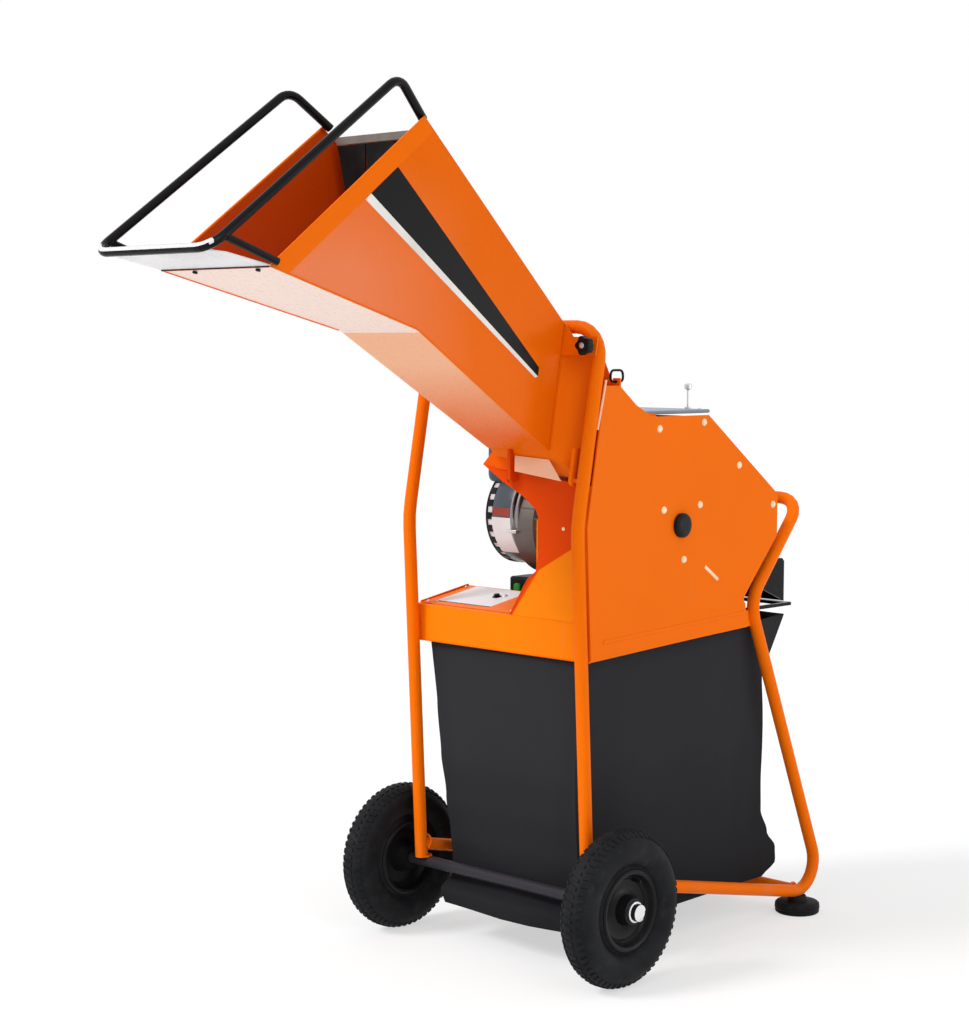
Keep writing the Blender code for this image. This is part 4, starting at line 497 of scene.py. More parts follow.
def sweep(points, radius, sides=16, closed=False):
    """A round rod along points, drawn by extruding a circle from one point to the next."""
    points = [Vector(p) for p in points]
    count = len(points)
    shape = fresh()
    bmesh.ops.create_circle(shape, cap_ends=not closed, segments=sides, radius=radius)

    def heading(k):
        if closed:
            return (points[(k + 1) % count] - points[k - 1]).normalized()
        return (points[min(k + 1, count - 1)] - points[max(k - 1, 0)]).normalized()

    way = heading(0)
    aim(shape, points[0], way)
    faces = list(shape.faces)
    edges = list(shape.edges)
    for k in range(1, count + (1 if closed else 0)):
        ahead = heading(k % count)
        if faces:
            grown = bmesh.ops.extrude_face_region(shape, geom=faces)
            verts = [g for g in grown["geom"] if isinstance(g, bmesh.types.BMVert)]
            faces_next = [g for g in grown["geom"] if isinstance(g, bmesh.types.BMFace)]
            if k > 1:
                bmesh.ops.delete(shape, geom=faces, context='FACES_ONLY')
            faces = faces_next
        else:
            grown = bmesh.ops.extrude_edge_only(shape, edges=edges)
            verts = [g for g in grown["geom"] if isinstance(g, bmesh.types.BMVert)]
            edges = [g for g in grown["geom"] if isinstance(g, bmesh.types.BMEdge)]
        turn = way.rotation_difference(ahead).to_matrix().to_4x4()
        centre = points[k - 1]
        move = Matrix.Translation(points[k % count]) @ turn @ Matrix.Translation(-centre)
        bmesh.ops.transform(shape, matrix=move, verts=verts)
        way = ahead
    return shape


def rounded(corners, radius, steps=5, closed=False):
    """The corners' line with each corner rounded."""
    corners = [Vector(c) for c in corners]
    count = len(corners)
    picks = range(count) if closed else range(1, count - 1)
    points = [] if closed else [corners[0]]
    for k in picks:
        back = corners[k - 1] - corners[k]
        ahead = corners[(k + 1) % count] - corners[k]
        reach = min(radius, back.length * 0.49, ahead.length * 0.49)
        first = corners[k] + back.normalized() * reach
        last = corners[k] + ahead.normalized() * reach
        for n in range(steps + 1):
            t = n / steps
            points.append(first.lerp(corners[k], t).lerp(corners[k].lerp(last, t), t))
    if not closed:
        points.append(corners[-1])
    return points


def make(name, shape, paint, body, stands_for=(), sharp=35):
    """Finish a shape as a piece that rides on a body."""
    bmesh.ops.remove_doubles(shape, verts=shape.verts, dist=0.00001)
    bmesh.ops.recalc_face_normals(shape, faces=shape.faces)
    mesh = bpy.data.meshes.new(name)
    shape.to_mesh(mesh)
    shape.free()
    mesh.materials.append(paint)
    mesh.shade_smooth()
    mesh.set_sharp_from_angle(angle=math.radians(sharp))
    piece = bpy.data.objects.new(name, mesh)
    bpy.context.scene.collection.objects.link(piece)
    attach(piece, body)
    if stands_for:
        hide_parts(*stands_for)
    return piece


def bolt(place, along, size=0.005, washer=True):
    """Hexagon head with a washer and a domed top."""
    head = soften(cylinder(size, 0.0012, 0.0012 + size * 0.75, 6, size * 0.96), size * 0.10)
    parts = [aim(head, place, along, 0.3)]
    if washer:
        disc = soften(cylinder(size * 1.5, 0.0, 0.0012, 24), 0.0003, 1)
        parts.append(aim(disc, place, along))
    return gather(*parts)


def dome_rivet(place, along, size=0.004):
    profile = [(0.0, size), (size * 0.15, size), (size * 0.45, size * 0.75),
               (size * 0.60, size * 0.35), (size * 0.64, 0.0)]
    return aim(lathe([(0.0, 0.0)] + profile, 20), place, along)


def weld_bead(place, along, radius, thick=0.0022):
    """A rippled bead of weld round a tube."""
    shape = fresh()
    ring = bmesh.ops.create_circle(shape, cap_ends=True, segments=8, radius=thick)
    bmesh.ops.rotate(shape, verts=ring["verts"], cent=(0, 0, 0),
                     matrix=Matrix.Rotation(math.pi / 2, 3, 'X'))
    bmesh.ops.translate(shape, verts=ring["verts"], vec=(radius, 0, 0))
    bmesh.ops.spin(shape, geom=list(shape.faces), cent=(0, 0, 0), axis=(0, 0, 1),
                   angle=math.tau, steps=40, use_merge=True)
    for v in shape.verts:
        ripple = 0.05 * math.sin(math.atan2(v.co.y, v.co.x) * WELD_RIPPLES)
        v.co.xy *= 1 + ripple * 0.6
        v.co.z *= 1 + ripple
    return aim(shape, place, along)


# Finishes on the carried-over solids

def finish_nodes():
    """Give every solid its material."""
    groups = {
        ORANGE_TRAY: ("bag_tray",),
        ORANGE: ("front_hoop", "rear_frame", "rear_cross_tube", "side_plate",
                 "chamber_plate", "chamber_cover", "hopper_flange", "hopper_neck",
                 "hinge_cheek_near"),
        ORANGE_HOPPER: ("hopper_body",),
        ORANGE_NECK: ("neck_front",),
        ORANGE_DECK: ("deck_plate",),
        CLAMP_METAL: ("curtain_clamp",),
        ORANGE_SHADED: ("inlet_funnel", "hinge_cheek_far"),
        BLACK: ("rear_hood", "bag_rail", "bag_hanger"),
        AXLE_BLACK: ("axle",),
        BAR_BLACK: ("safety_bar",),
        RUBBER: ("foot_near", "foot_far", "tyre_near", "tyre_far"),
        SOFT_RUBBER: ("curtain_flap_1", "curtain_flap_2", "curtain_flap_3"),
        NYLON: ("rim_near", "rim_far"),
        CHROME: ("axle_cap_near", "axle_cap_far", "lifting_ring"),
        STEEL: ("rotor", "blade_1", "blade_2", "drive_shaft", "motor_armature", "anvil", "sieve"),
        CAST: ("bearing_near", "bearing_far", "motor_body", "motor_front_bell"),
        COPPER: ("motor_stator",),
        BLACK_PLASTIC: ("cooling_fan", "fan_cowl", "mains_inlet", "inlet_lid", "switch_box",
                        "lock_knob", "hub_cap"),
        BOX_GREY: ("control_box",),
        GREY_PLASTIC: ("control_box_lid",),
        ZINC: ("hood_rod", "reset_knob"),
        WHITE_LABEL_AND_HIGHLIGHT: ("lip_plate",),
        GREEN_PLASTIC: ("start_button",),
        RED_PLASTIC: ("stop_button",),
        CLOTH: ("collecting_bag",),
    }
    for paint, names in groups.items():
        for name in names:
            mesh = NODES[name].data
            mesh.materials.clear()
            mesh.materials.append(paint)


# Wheels

def lug_shape(side):
    """One tread lug, tapered to its top and skewed, on the crown or on a shoulder."""
    half = (0.0060 if side else 0.0075)
    lug = cube((-0.0036, -half, -0.0030), (0.0036, half, 0.0012))
    for v in lug.verts:
        if v.co.z > 0:
            v.co.x *= 0.82
            v.co.y *= 0.90
        v.co.x += v.co.y * (0.25 * side if side else 0.35)
    return soften(lug, 0.0004, 1)


def tyre_shape():
    """Carcass with sidewall ribs, and three rows of lugs."""
    crown = WHEEL_RADIUS - 0.0016
    middle = (crown + TYRE_BASE) / 2
    tall = (crown - TYRE_BASE) / 2
    profile = [(-0.022, TYRE_BASE)]
    for k in range(25):
        turn = math.radians(235 - 290 * k / 24)
        rib = 0.0006 if k in (6, 18) else 0.0
        profile.append((math.cos(turn) * (TYRE_HALF + rib), middle + math.sin(turn) * (tall + rib)))
    profile += [(0.022, TYRE_BASE), (-0.022, TYRE_BASE)]
    parts = [lathe(profile, 96)]
    upright = Matrix.Rotation(-math.pi / 2, 4, 'X')
    for k in range(LUG_COUNT):
        for side in (-1, 0, 1):
            turn = math.tau * (k + (0.5 if side else 0.0)) / LUG_COUNT
            out = WHEEL_RADIUS - (0.0066 if side else 0.0014)
            lug = lug_shape(side)
            tilt = Matrix.Rotation(math.radians(-38 * side), 4, 'X')
            place = Matrix.Translation((0, side * 0.0172, out))
            spin = Matrix.Rotation(turn, 4, 'Y')
            bmesh.ops.transform(lug, matrix=upright @ spin @ place @ tilt, verts=lug.verts)
            parts.append(lug)
    return gather(*parts)


def rim_shape(outward):
    """Dished rim with a rolled lip, a thin step ring and a plain hub."""
    lip = RIM_LIP
    face = [(-lip, 0.0590), (-lip - 0.0010, 0.0630), (-lip + 0.0008, 0.0662), (-0.018, 0.0666),
            (0.018, 0.0666), (lip - 0.0008, 0.0662), (lip + 0.0010, 0.0630), (lip, 0.0590),
            (lip - 0.004, 0.0565), (0.0150, 0.0550), (0.0132, 0.0535), (0.0138, 0.0522),
            (0.0128, 0.0508), (0.0085, 0.0480), (0.0070, 0.0420), (0.0070, 0.0320),
            (0.0110, 0.0250), (0.0285, 0.0215), (0.0290, 0.0195), (0.0290, WHEEL_BORE),
            (-0.0290, WHEEL_BORE), (-0.0290, 0.0195), (-0.0120, 0.0240), (-0.0020, 0.0300),
            (-0.0020, 0.0480), (-0.0100, 0.0560), (-lip, 0.0590)]
    return lathe([(a * outward, r) for a, r in face], 72)


def wheels():
    """Treaded tyre, dished rim and valve stem on each side."""
    for side, sign in (("near", 1), ("far", -1)):
        low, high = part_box("tyre_" + side)
        centre = (low + high) / 2
        body = "wheel_" + side
        make("tyre_treaded_" + side, aim(tyre_shape(), centre, (1, 0, 0)), RUBBER, body,
             ["tyre_" + side], 30)
        make("rim_dished_" + side, aim(rim_shape(sign), centre, (1, 0, 0)), NYLON, body,
             ["rim_" + side], 32)
        place = centre + Vector((sign * 0.0110, 0.018, 0.046))
        stem = lathe([(0, 0), (0, 0.0032), (0.006, 0.0030), (0.010, 0.0024), (0.016, 0.0024),
                      (0.017, 0.0018), (0.017, 0)], 16)
        make("tyre_valve_" + side, aim(stem, place, (sign, 0, 0)), BLACK_PLASTIC, body)


# Feet, axle and frame

def feet():
    """Rubber disc feet with a plain boss round the tube's end."""
    for side in ("near", "far"):
        low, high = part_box("foot_" + side)
        x = (low.x + high.x) / 2
        y = (low.y + high.y) / 2
        profile = [(0.0, 0.0), (0.0, 0.0375), (0.0015, 0.0395), (0.0045, 0.0402), (0.006, 0.0392),
                   (0.0075, 0.0402), (0.0105, 0.0408), (0.0120, 0.0398), (0.0135, 0.0406),
                   (0.0170, 0.0400), (0.0195, 0.0375), (0.0205, 0.0340), (0.0210, 0.0180),
                   (0.0290, 0.0165), (0.0310, 0.0150), (0.0310, 0.0)]
        make("foot_pad_" + side, aim(lathe(profile, 64), (x, y, 0.0), (0, 0, 1)), RUBBER,
             "frame", ["foot_" + side], 30)


def frame_welds():
    """Weld beads at the axle, the rear cross tube and the front legs."""
    beads = []
    for sign in (-1, 1):
        x = sign * FRAME_HALF
        beads.append(weld_bead(spot(x, 0.003, 0.1385), (0, 0, 1), TUBE + 0.0006))
        beads.append(weld_bead(spot(sign * (FRAME_HALF - 0.0105), 0.5785, 0.0395), (1, 0, 0),
                               TUBE + 0.0008))
        beads.append(weld_bead(spot(x, 0.0075, 0.1620), (0, 0.977, -0.212), TUBE + 0.0010))
    make("frame_welds", gather(*beads), ORANGE, "frame", (), 60)


# Side plate, hub and tray

# Points on the side plate and along the neck, given as (back, up) or (across, up)
PLATE_BOLTS = ((0.156, 0.894), (0.274, 0.902), (0.373, 0.826), (0.472, 0.753), (0.169, 0.759),
               (0.265, 0.763), (0.223, 0.673))
SLOT_ENDS = ((0.281, 0.657), (0.317, 0.632))
FOLD_ENDS = ((0.018, 0.5530), (0.392, 0.5690))
FLANGE_ENDS = ((0.0215, 0.9752), (0.0015, 0.8960))
NECK_BOLT = (0.1422, -0.0107, 0.7345)
NECK_SHEET = 0.0020
NECK_FOLD = ((0.0810, 0.6590), (0.0640, 0.6460), (0.0245, 0.5852))
GUSSET = ((-0.0390, 0.8322), (-0.0115, 0.8595), (-0.0115, 0.8288))
SKIRT = ((-0.0100, 0.8272), (-0.0100, 0.8460), (0.0222, 0.8460), (0.0222, 0.8240))
NECK_LEDGE = ((0.054, -0.0330, 0.8250), (0.154, -0.0300, 0.8130), (0.118, -0.0200, 0.8460),
              (0.046, -0.0240, 0.8500))


def plate_bolts():
    """Bolt heads, a painted highlight along the slot, the folded foot and a painted highlight on
    the front edge of the side plate.
    """
    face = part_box("side_plate")[1].x
    shapes = [dome_rivet(spot(face, y, z), (1, 0, 0), 0.0062) for y, z in PLATE_BOLTS]
    shapes.append(dome_rivet(spot(*NECK_BOLT), (0, -1, 0), 0.0032))
    make("side_plate_bolts", gather(*shapes), PALE_PLATE, "frame")
    # Painted highlight: a pale rod pressed on the plate along the slot.
    slot = pressed([spot(face, y, z) for y, z in SLOT_ENDS], 0.0030)
    make("side_plate_slot_glint", slot, PALE_PLATE, "frame")
    fold = pressed([spot(face, y, z) for y, z in FOLD_ENDS], 0.0034)
    make("side_plate_fold", fold, ORANGE, "frame", (), 60)
    # Painted highlight: a pale orange rod along the side plate's front edge.
    edge = sweep([spot(face - 0.0012, y, z) for y, z in FLANGE_ENDS], 0.0020, 10)
    make("side_plate_front_edge_highlight", edge, ORANGE_PALE, "frame", (), 60)
    cap = [(0.0, 0.0), (0.0, 0.0204), (0.0050, 0.0206), (0.0066, 0.0200), (0.0082, 0.0178),
           (0.0092, 0.0140), (0.0096, 0.0095), (0.0098, 0.0)]
    make("hub_cap_domed", aim(lathe(cap, 64), spot(face + 0.0003, *HUB), (1, 0, 0)), BLACK_PLASTIC,
         "frame", ["hub_cap"])


def pressed(ends, radius):
    """A rod that is pressed flat on the side plate's face."""
    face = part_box("side_plate")[1].x
    shape = sweep(ends, radius, 12)
    for v in shape.verts:
        v.co.x = face + (v.co.x - face) * 0.4
    return shape


def neck_detail():
    """The flare round the neck's head as a painted highlight, the sheets under the hopper's base in
    painted shade, and the folded edges down to the tray and by the deck as painted shade lines.
    """
    # Painted highlight: the ledge in the pale copy of the orange.
    ledge = flat_panel([spot(*corner) for corner in NECK_LEDGE])
    bmesh.ops.solidify(ledge, geom=list(ledge.faces), thickness=0.0015)
    make("neck_ledge", ledge, ORANGE_PALE, "frame")
    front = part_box("neck_front")[1].y - NECK_SHEET
    # The gusset and the skirt in painted shade, under the hopper's base.
    for name, body, outline, face, thick in (
            ("neck_gusset", "frame", GUSSET, front, 0.0016),
            ("hopper_skirt", "hopper", SKIRT, front - 0.0018, 0.0012)):
        sheet = pull_out(flat_panel([(x, face, z) for x, z in outline]), (0, thick, 0))
        make(name, sheet, ORANGE_SKIRT, body)
    low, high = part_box("deck_plate")
    side = [(low.x + 0.002, low.y + 0.001, low.z + 0.0015),
            (low.x + 0.002, high.y - 0.001, high.z + 0.0005)]
    # The folds in the shaded orange: painted shade lines along the neck's lower edge and the deck's
    # side.
    folds = gather(sweep([(x, front, z) for x, z in NECK_FOLD], 0.0014, 8), sweep(side, 0.0024, 8))
    make("folded_edges", folds, ORANGE_SHADED, "frame")


def tray_detail():
    """Rivets and a bolt on the sloping deck plate, and the tray's front hem."""
    low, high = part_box("bag_tray")
    first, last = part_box("deck_plate")
    tilt = Vector((0.0, last.y - first.y, last.z - first.z)).normalized()
    up = Vector((0.0, -tilt.z, tilt.y))

    def on_plate(x, share):
        y = first.y + (last.y - first.y) * share
        return Vector((x, y, first.z + (last.z - first.z) * share + 0.0008))

    rivets = [dome_rivet(on_plate(x, share), up, 0.0026)
              for x in (first.x + 0.008, last.x - 0.008) for share in (0.10, 0.90)]
    make("deck_plate_rivets", gather(*rivets), ZINC, "frame")
    make("deck_plate_bolt", bolt(on_plate(-0.086, 0.61), up, 0.0055), BLACK, "frame")
    make("deck_plate_stud", dome_rivet(on_plate(-0.074, 0.68), up, 0.0045), CHROME, "frame")
    gap = sweep([on_plate(-0.172, 0.135), on_plate(-0.049, 0.135)], 0.0010, 8)
    make("deck_panel_gap", gap, SOFT_RUBBER, "frame")
    front = low.y
    hem = sweep([(low.x + 0.001, front + 0.0005, 0.5222), (high.x - 0.001, front + 0.0005, 0.5222)],
                0.0016, 10)
    make("tray_hem", hem, ORANGE, "frame")


# Motor

def motor_piece(name, shapes, paint, stands_for=(), drop=0.0):
    """Lay lathed shapes along X round the motor's axis, drop metres under it."""
    whole = aim(gather(*shapes), spot(0.0, *HUB) - Vector((0, 0, drop)), (1, 0, 0))
    make(name, whole, paint, "frame", stands_for, 35)


def ring_of(count, low, high, width):
    """Small blocks set round a circle. low and high give radius and distance along."""
    made = []
    for k in range(count):
        block = soften(cube((low[0], -width / 2, low[1]), (high[0], width / 2, high[1])), 0.0006, 1)
        bmesh.ops.rotate(block, verts=block.verts, cent=(0, 0, 0),
                         matrix=Matrix.Rotation(math.tau * k / count, 3, 'Z'))
        made.append(block)
    return made


def closed_ring(profile, segments=72):
    """Lathe a profile that is closed back to its first point."""
    return lathe(profile + profile[:1], segments)


def motor():
    """Finned cast body, two bright rings, painted drum, and slotted end with a white painted
    highlight behind its slots.
    """
    centre = spot(0.0, *HUB)
    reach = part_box("motor_front_bell")[1].x
    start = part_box("fan_cowl")[0].x - 0.0030
    drum_start = start + 0.0180
    drum_end = start + 0.0630
    join = start + 0.0830
    inside = MOTOR_INSIDE
    band = BAND_RADIUS
    body = [(join - 0.002, inside), (join - 0.002, 0.0805), (reach - 0.022, 0.0800),
            (reach - 0.016, 0.0845), (reach - 0.002, 0.0848), (reach, 0.0835), (reach, 0.0142),
            (reach - 0.010, 0.0142), (reach - 0.012, inside)]
    fins = ring_of(30, (0.0780, join + 0.004), (0.0862, reach - 0.024), 0.0026)
    motor_piece("motor_finned_casting", [closed_ring(body, 64)] + fins, CAST,
                ["motor_body", "motor_front_bell"])
    bands = [closed_ring([(low, 0.0790), (low, band), (low + 0.0015, 0.0900),
                          (high - 0.0015, 0.0900), (high, band), (high, 0.0790)])
             for low, high in ((drum_end, drum_end + 0.0065), (join - 0.0075, join))]
    motor_piece("motor_bright_rings", bands, DARK_STEEL)
    groove = [(drum_end + 0.0060, inside), (drum_end + 0.0060, 0.0840), (join - 0.0070, 0.0840),
              (join - 0.0070, inside)]
    motor_piece("motor_groove", [closed_ring(groove, 64)], BLACK_PLASTIC)
    sump = [(drum_end + 0.004, 0.0660), (drum_end + 0.004, 0.0840), (drum_end + 0.008, band),
            (join + 0.034, band), (join + 0.038, 0.0840), (join + 0.038, 0.0660)]
    motor_piece("motor_lower_housing", [closed_ring(sump, 64)], CAST, (), SUMP_DROP)
    drum = [(drum_end, 0.0790), (drum_end, 0.0870), (drum_end - 0.0020, 0.0880),
            (drum_start + 0.0020, 0.0880), (drum_start, 0.0870), (drum_start, 0.0790)]
    motor_piece("motor_cowl_drum", [closed_ring(drum)], COWL, ["fan_cowl"])
    cage = [closed_ring([(start, 0.020), (start, 0.0800), (start + 0.0020, 0.0860),
                         (start + 0.0045, band), (start + 0.0070, band), (start + 0.0060, 0.0820),
                         (start + 0.0030, 0.0760), (start + 0.0030, 0.020)])]
    cage += ring_of(24, (0.0795, start + 0.0060), (band, drum_start + 0.0010), 0.0120)
    cage += ring_of(12, (0.0185, start - 0.0005), (0.0760, start + 0.0020), 0.0030)
    motor_piece("motor_cowl_cage", cage, BLACK_PLASTIC)
    # Painted highlight: a white ring behind the teeth, so that the slots show white.
    slot_highlight = [(start + 0.0062, 0.0830), (start + 0.0062, 0.0860), (drum_start, 0.0860),
              (drum_start, 0.0830)]
    motor_piece("motor_cage_slot_highlight", [closed_ring(slot_highlight)], WHITE_LABEL_AND_HIGHLIGHT)
    patches = (("motor_blank_label", WHITE_LABEL_AND_HIGHLIGHT, "grey_plastic", 0.0010, 0.0520, 181, 227),
               ("motor_red_band", RED_BAND, "red_plastic", 0.0030, 0.0440, 170, 179.5))
    for name, paint, slot, near, far, first, last in patches:
        patch = curved_patch(0.0884, 0.0007, drum_start + near, drum_start + far, first, last)
        bmesh.ops.translate(patch, verts=patch.verts, vec=centre)
        make(name, patch, paint, "frame")
    turn = math.radians(196)
    foot = centre + Vector((drum_end + 0.010, 0.088 * math.cos(turn), 0.088 * math.sin(turn)))
    lever = cube(foot + Vector((-0.014, -0.010, -0.003)), foot + Vector((0.010, 0.002, 0.003)))
    make("motor_clamp_lever", soften(lever, 0.0012), ZINC, "frame")


def curved_patch(radius, thick, low, high, first, last):
    """A thin patch on a drum along X. Angles run from +Y over +Z, in degrees."""
    shape = fresh()
    start = math.radians(first)
    a = shape.verts.new((low, math.cos(start) * radius, math.sin(start) * radius))
    b = shape.verts.new((high, math.cos(start) * radius, math.sin(start) * radius))
    line = shape.edges.new((a, b))
    bmesh.ops.spin(shape, geom=[line], cent=(0, 0, 0), axis=(1, 0, 0),
                   angle=math.radians(last - first), steps=12)
    bmesh.ops.recalc_face_normals(shape, faces=shape.faces)
    bmesh.ops.solidify(shape, geom=list(shape.faces), thickness=thick)
    return shape


# Bag

# The bag's flat cloth, its hem height, and where its sides end on the way to the floor's middle
BAG_FLAT = (1.45, 0.75)
BAG_TOP = 0.549
BAG_FLOOR = 0.062
BAG_SIDES = 0.80
# Height, half width, front and back of the bag at each level
BAG_LEVELS = ((BAG_TOP, 0.179, -0.004, 0.556), (0.442, 0.166, -0.003, 0.509),
              (0.342, 0.160, -0.001, 0.524), (0.262, 0.155, 0.006, 0.531),
              (0.190, 0.152, 0.014, 0.540), (0.146, 0.153, 0.0190, 0.560),
              (0.114, 0.155, 0.0190, 0.584), (0.088, 0.156, -0.012, 0.586),
              (0.060, 0.150, -0.006, 0.550))
RAIL_SLOPE = 0.02 / 0.4116
LEG_FOOT = 0.0107
HEM_DROP = 0.0275


def bag():
    """Lofted cloth shell that hangs from its hem and sags at the bottom."""
    shape = fresh()
    bmesh.ops.create_grid(shape, x_segments=168, y_segments=84, size=0.5, calc_uvs=True)
    for v in shape.verts:
        v.co = bag_point(v.co.x + 0.5, 0.5 - v.co.y)
    for layer in shape.loops.layers.uv.values():
        for face in shape.faces:
            for loop in face.loops:
                loop[layer].uv = (loop[layer].uv.x * BAG_FLAT[0], loop[layer].uv.y * BAG_FLAT[1])
    piece = make("bag_cloth", shape, CLOTH, "bag", ["collecting_bag"], 80)
    wall = piece.modifiers.new("cloth", 'SOLIDIFY')
    wall.thickness = 0.0022
    wall.offset = -1.0


def bag_section(height):
    """Half width, front and back of the bag at a height, blended between two levels."""
    for k, (upper, lower) in enumerate(zip(BAG_LEVELS, BAG_LEVELS[1:])):
        if height >= lower[0] or k == len(BAG_LEVELS) - 2:
            share = max(0.0, min(1.0, (upper[0] - height) / (upper[0] - lower[0])))
            if k:
                share = share * share * (3 - 2 * share)
            return [a + (b - a) * share for a, b in zip(upper[1:], lower[1:])]


def squared(value, power):
    """Push a sine or cosine towards -1 or 1, so that a circle becomes a rounded square."""
    return math.copysign(abs(value) ** power if abs(value) > 1e-9 else 0.0, value)


def bag_point(u, t):
    """Place on the bag: u round from the near front corner, t from the hem to the middle."""
    drop = min(t / BAG_SIDES, 1.0)
    height = BAG_TOP - (BAG_TOP - BAG_FLOOR) * drop
    half, low, high = bag_section(height)
    middle = (low + high) / 2
    deep = (high - low) / 2
    turn = math.tau * u - math.pi / 4
    power = 0.16 + 0.10 * drop
    across = squared(math.cos(turn), power)
    along = squared(math.sin(turn), power)
    swell = math.hypot(across, along)
    edge = max(abs(across), abs(along), 1e-6)
    size = (1.0 - (0.03 + 0.05 * drop) * max(0.0, swell - 1.0) * 2.0) / edge
    x = half * across * size
    y = deep * along * size
    z = height
    if drop < 1.0:
        z += ((y + middle + LEG_FOOT) * RAIL_SLOPE - HEM_DROP) * (1.0 - drop)
    if t > BAG_SIDES:
        inward = (t - BAG_SIDES) / (1.0 - BAG_SIDES)
        x *= 1.0 - inward
        y *= 1.0 - inward
        z -= 0.008 * math.sin(min(1.0, inward * 1.6) * math.pi / 2)
    fold = noise.noise(Vector((x * 9.0, (y + middle) * 9.0, z * 3.0)))
    crease = noise.noise(Vector((x * 26.0 + 7.0, (y + middle) * 26.0, z * 8.0 + 3.0)))
    amount = min(1.0, drop * 3.0) * (0.0045 * fold + 0.0018 * crease)
    if t > BAG_SIDES:
        z += amount * 0.6
    else:
        out = Vector((x / half if abs(x) > half * 0.93 else 0.0,
                      y / deep if abs(y) > deep * 0.93 else 0.0))
        if out.length > 0.01:
            out.normalize()
            x += out.x * amount
            y += out.y * amount
    return spot(x, y + middle, z)


# Hopper

# The near panel's corners from the machine's middle: across, back and up
HOPPER_TOP = (0.125, -0.307, 1.370)
HOPPER_LIP = (0.125, -0.609, 1.139)
HOPPER_KNEE = (0.125, -0.322, 1.053)
HOPPER_BASE = (0.125, -0.02957, 0.861)
FAR_TOP = -0.107
FAR_KNEE = -0.052
LIP_BOLTS = (-0.054, 0.089)
# Films on the near panel, given back and up
RIM_BAND = ((-0.307, 1.3695), (-0.6085, 1.1390), (-0.5771, 1.1294), (-0.2906, 1.3486))
BLACK_STRIPE = ((-0.3637, 1.2924), (-0.4175, 1.2503), (-0.0553, 0.9805), (-0.0530, 0.9948))
PALE_STRIPE = ((-0.4175, 1.2503), (-0.4285, 1.2409), (-0.0621, 0.9786), (-0.0553, 0.9805))


def hopper_detail():
    """Rolled lip, seam strips and fasteners."""
    top = spot(*HOPPER_TOP)
    lip = spot(*HOPPER_LIP)
    knee = spot(*HOPPER_KNEE)
    far_top = Vector((FAR_TOP, top.y, top.z))
    far_lip = Vector((-lip.x, lip.y, lip.z))
    far_knee = Vector((FAR_KNEE, knee.y, knee.z))
    inward = Vector((0.001, 0, 0))
    edge = [top - inward, lip - inward, far_lip + inward, far_top + inward]
    make("hopper_mouth_hem", sweep(rounded(edge, 0.004, 3), 0.0021, 10), ORANGE, "hopper",
         (), 60)
    seams = [sweep(rounded(run, 0.006, 3), 0.0016, 8)
             for run in ((lip, knee, spot(*HOPPER_BASE)), (far_lip, far_knee))]
    make("hopper_lower_seams", gather(*seams), ORANGE, "hopper", (), 60)
    under = (knee - lip).normalized()
    down = Vector((0, under.z, -under.y))
    fasteners = [bolt(Vector((x, lip.y, lip.z)) + under * 0.008, down, 0.0042, False)
                 for x in LIP_BOLTS]
    make("hopper_lip_fasteners", gather(*fasteners), BLACK, "hopper")
    line = [Vector((x, lip.y - 0.0012, lip.z - 0.0005)) for x in (far_lip.x + 0.002, lip.x - 0.002)]
    make("hopper_lip_gasket", sweep(line, 0.0012, 8), SOFT_RUBBER, "hopper")


def side_films():
    """The rim's band, and a plain tapered stripe, black with a pale edge."""
    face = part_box("hopper_body")[1].x + 0.0001
    for name, corners, proud, paint, slot in (
            ("hopper_rim_band", RIM_BAND, 0.0010, ORANGE, "orange_paint"),
            ("hopper_black_stripe", BLACK_STRIPE, 0.0003, STRIPE_BLACK, "black_paint"),
            ("hopper_pale_stripe", PALE_STRIPE, 0.0003, STRIPE_PALE, "grey_plastic")):
        film = pull_out(flat_panel([spot(face, y, z) for y, z in corners]), (proud, 0, 0))
        make(name, film, paint, "hopper")


def knob():
    """Five-lobed knob with a bright centre screw."""
    low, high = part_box("lock_knob")
    place = Vector(((low.x + high.x) / 2, low.y, (low.z + high.z) / 2))
    star = fresh()
    bmesh.ops.create_circle(star, cap_ends=True, segments=60, radius=0.0160)
    for v in star.verts:
        turn = math.atan2(v.co.y, v.co.x)
        v.co.xy *= 0.90 + 0.10 * math.cos(5 * turn)
    soften(pull_out(star, (0, 0, 0.0130)), 0.0022, 3, 60)
    neck = lathe([(0.0125, 0.0), (0.0125, 0.0085), (0.0185, 0.0080), (0.0185, 0.0)], 32)
    make("lock_knob_star", aim(gather(star, neck), place, (0, 1, 0)), BLACK_PLASTIC, "lock_knob",
         ["lock_knob"], 40)
    make("lock_knob_screw", bolt(place, (0, -1, 0), 0.0032), ZINC, "lock_knob")


def curtain():
    """Three rubber strips with a slight curl under the clamp strip."""
    for k in range(3):
        name = "curtain_flap_%d" % (k + 1)
        low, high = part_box(name)
        shape = fresh()
        bmesh.ops.create_grid(shape, x_segments=10, y_segments=16, size=0.5)
        for v in shape.verts:
            across = v.co.x + 0.5
            hang = 0.5 - v.co.y
            left = low.x + (0.030 * hang if k == 0 else 0.0)
            x = left + (high.x - left) * across
            curl = 0.0035 * math.sin(hang * math.pi) * math.sin(across * math.pi + k)
            v.co = Vector((x, (low.y + high.y) / 2 + curl, high.z + (low.z - high.z) * hang))
        bmesh.ops.recalc_face_normals(shape, faces=shape.faces)
        bmesh.ops.solidify(shape, geom=list(shape.faces), thickness=0.0026)
        strip = make("rubber_strip_%d" % (k + 1), shape, SOFT_RUBBER, "flap_%d" % (k + 1),
                     [name], 60)


# Small parts

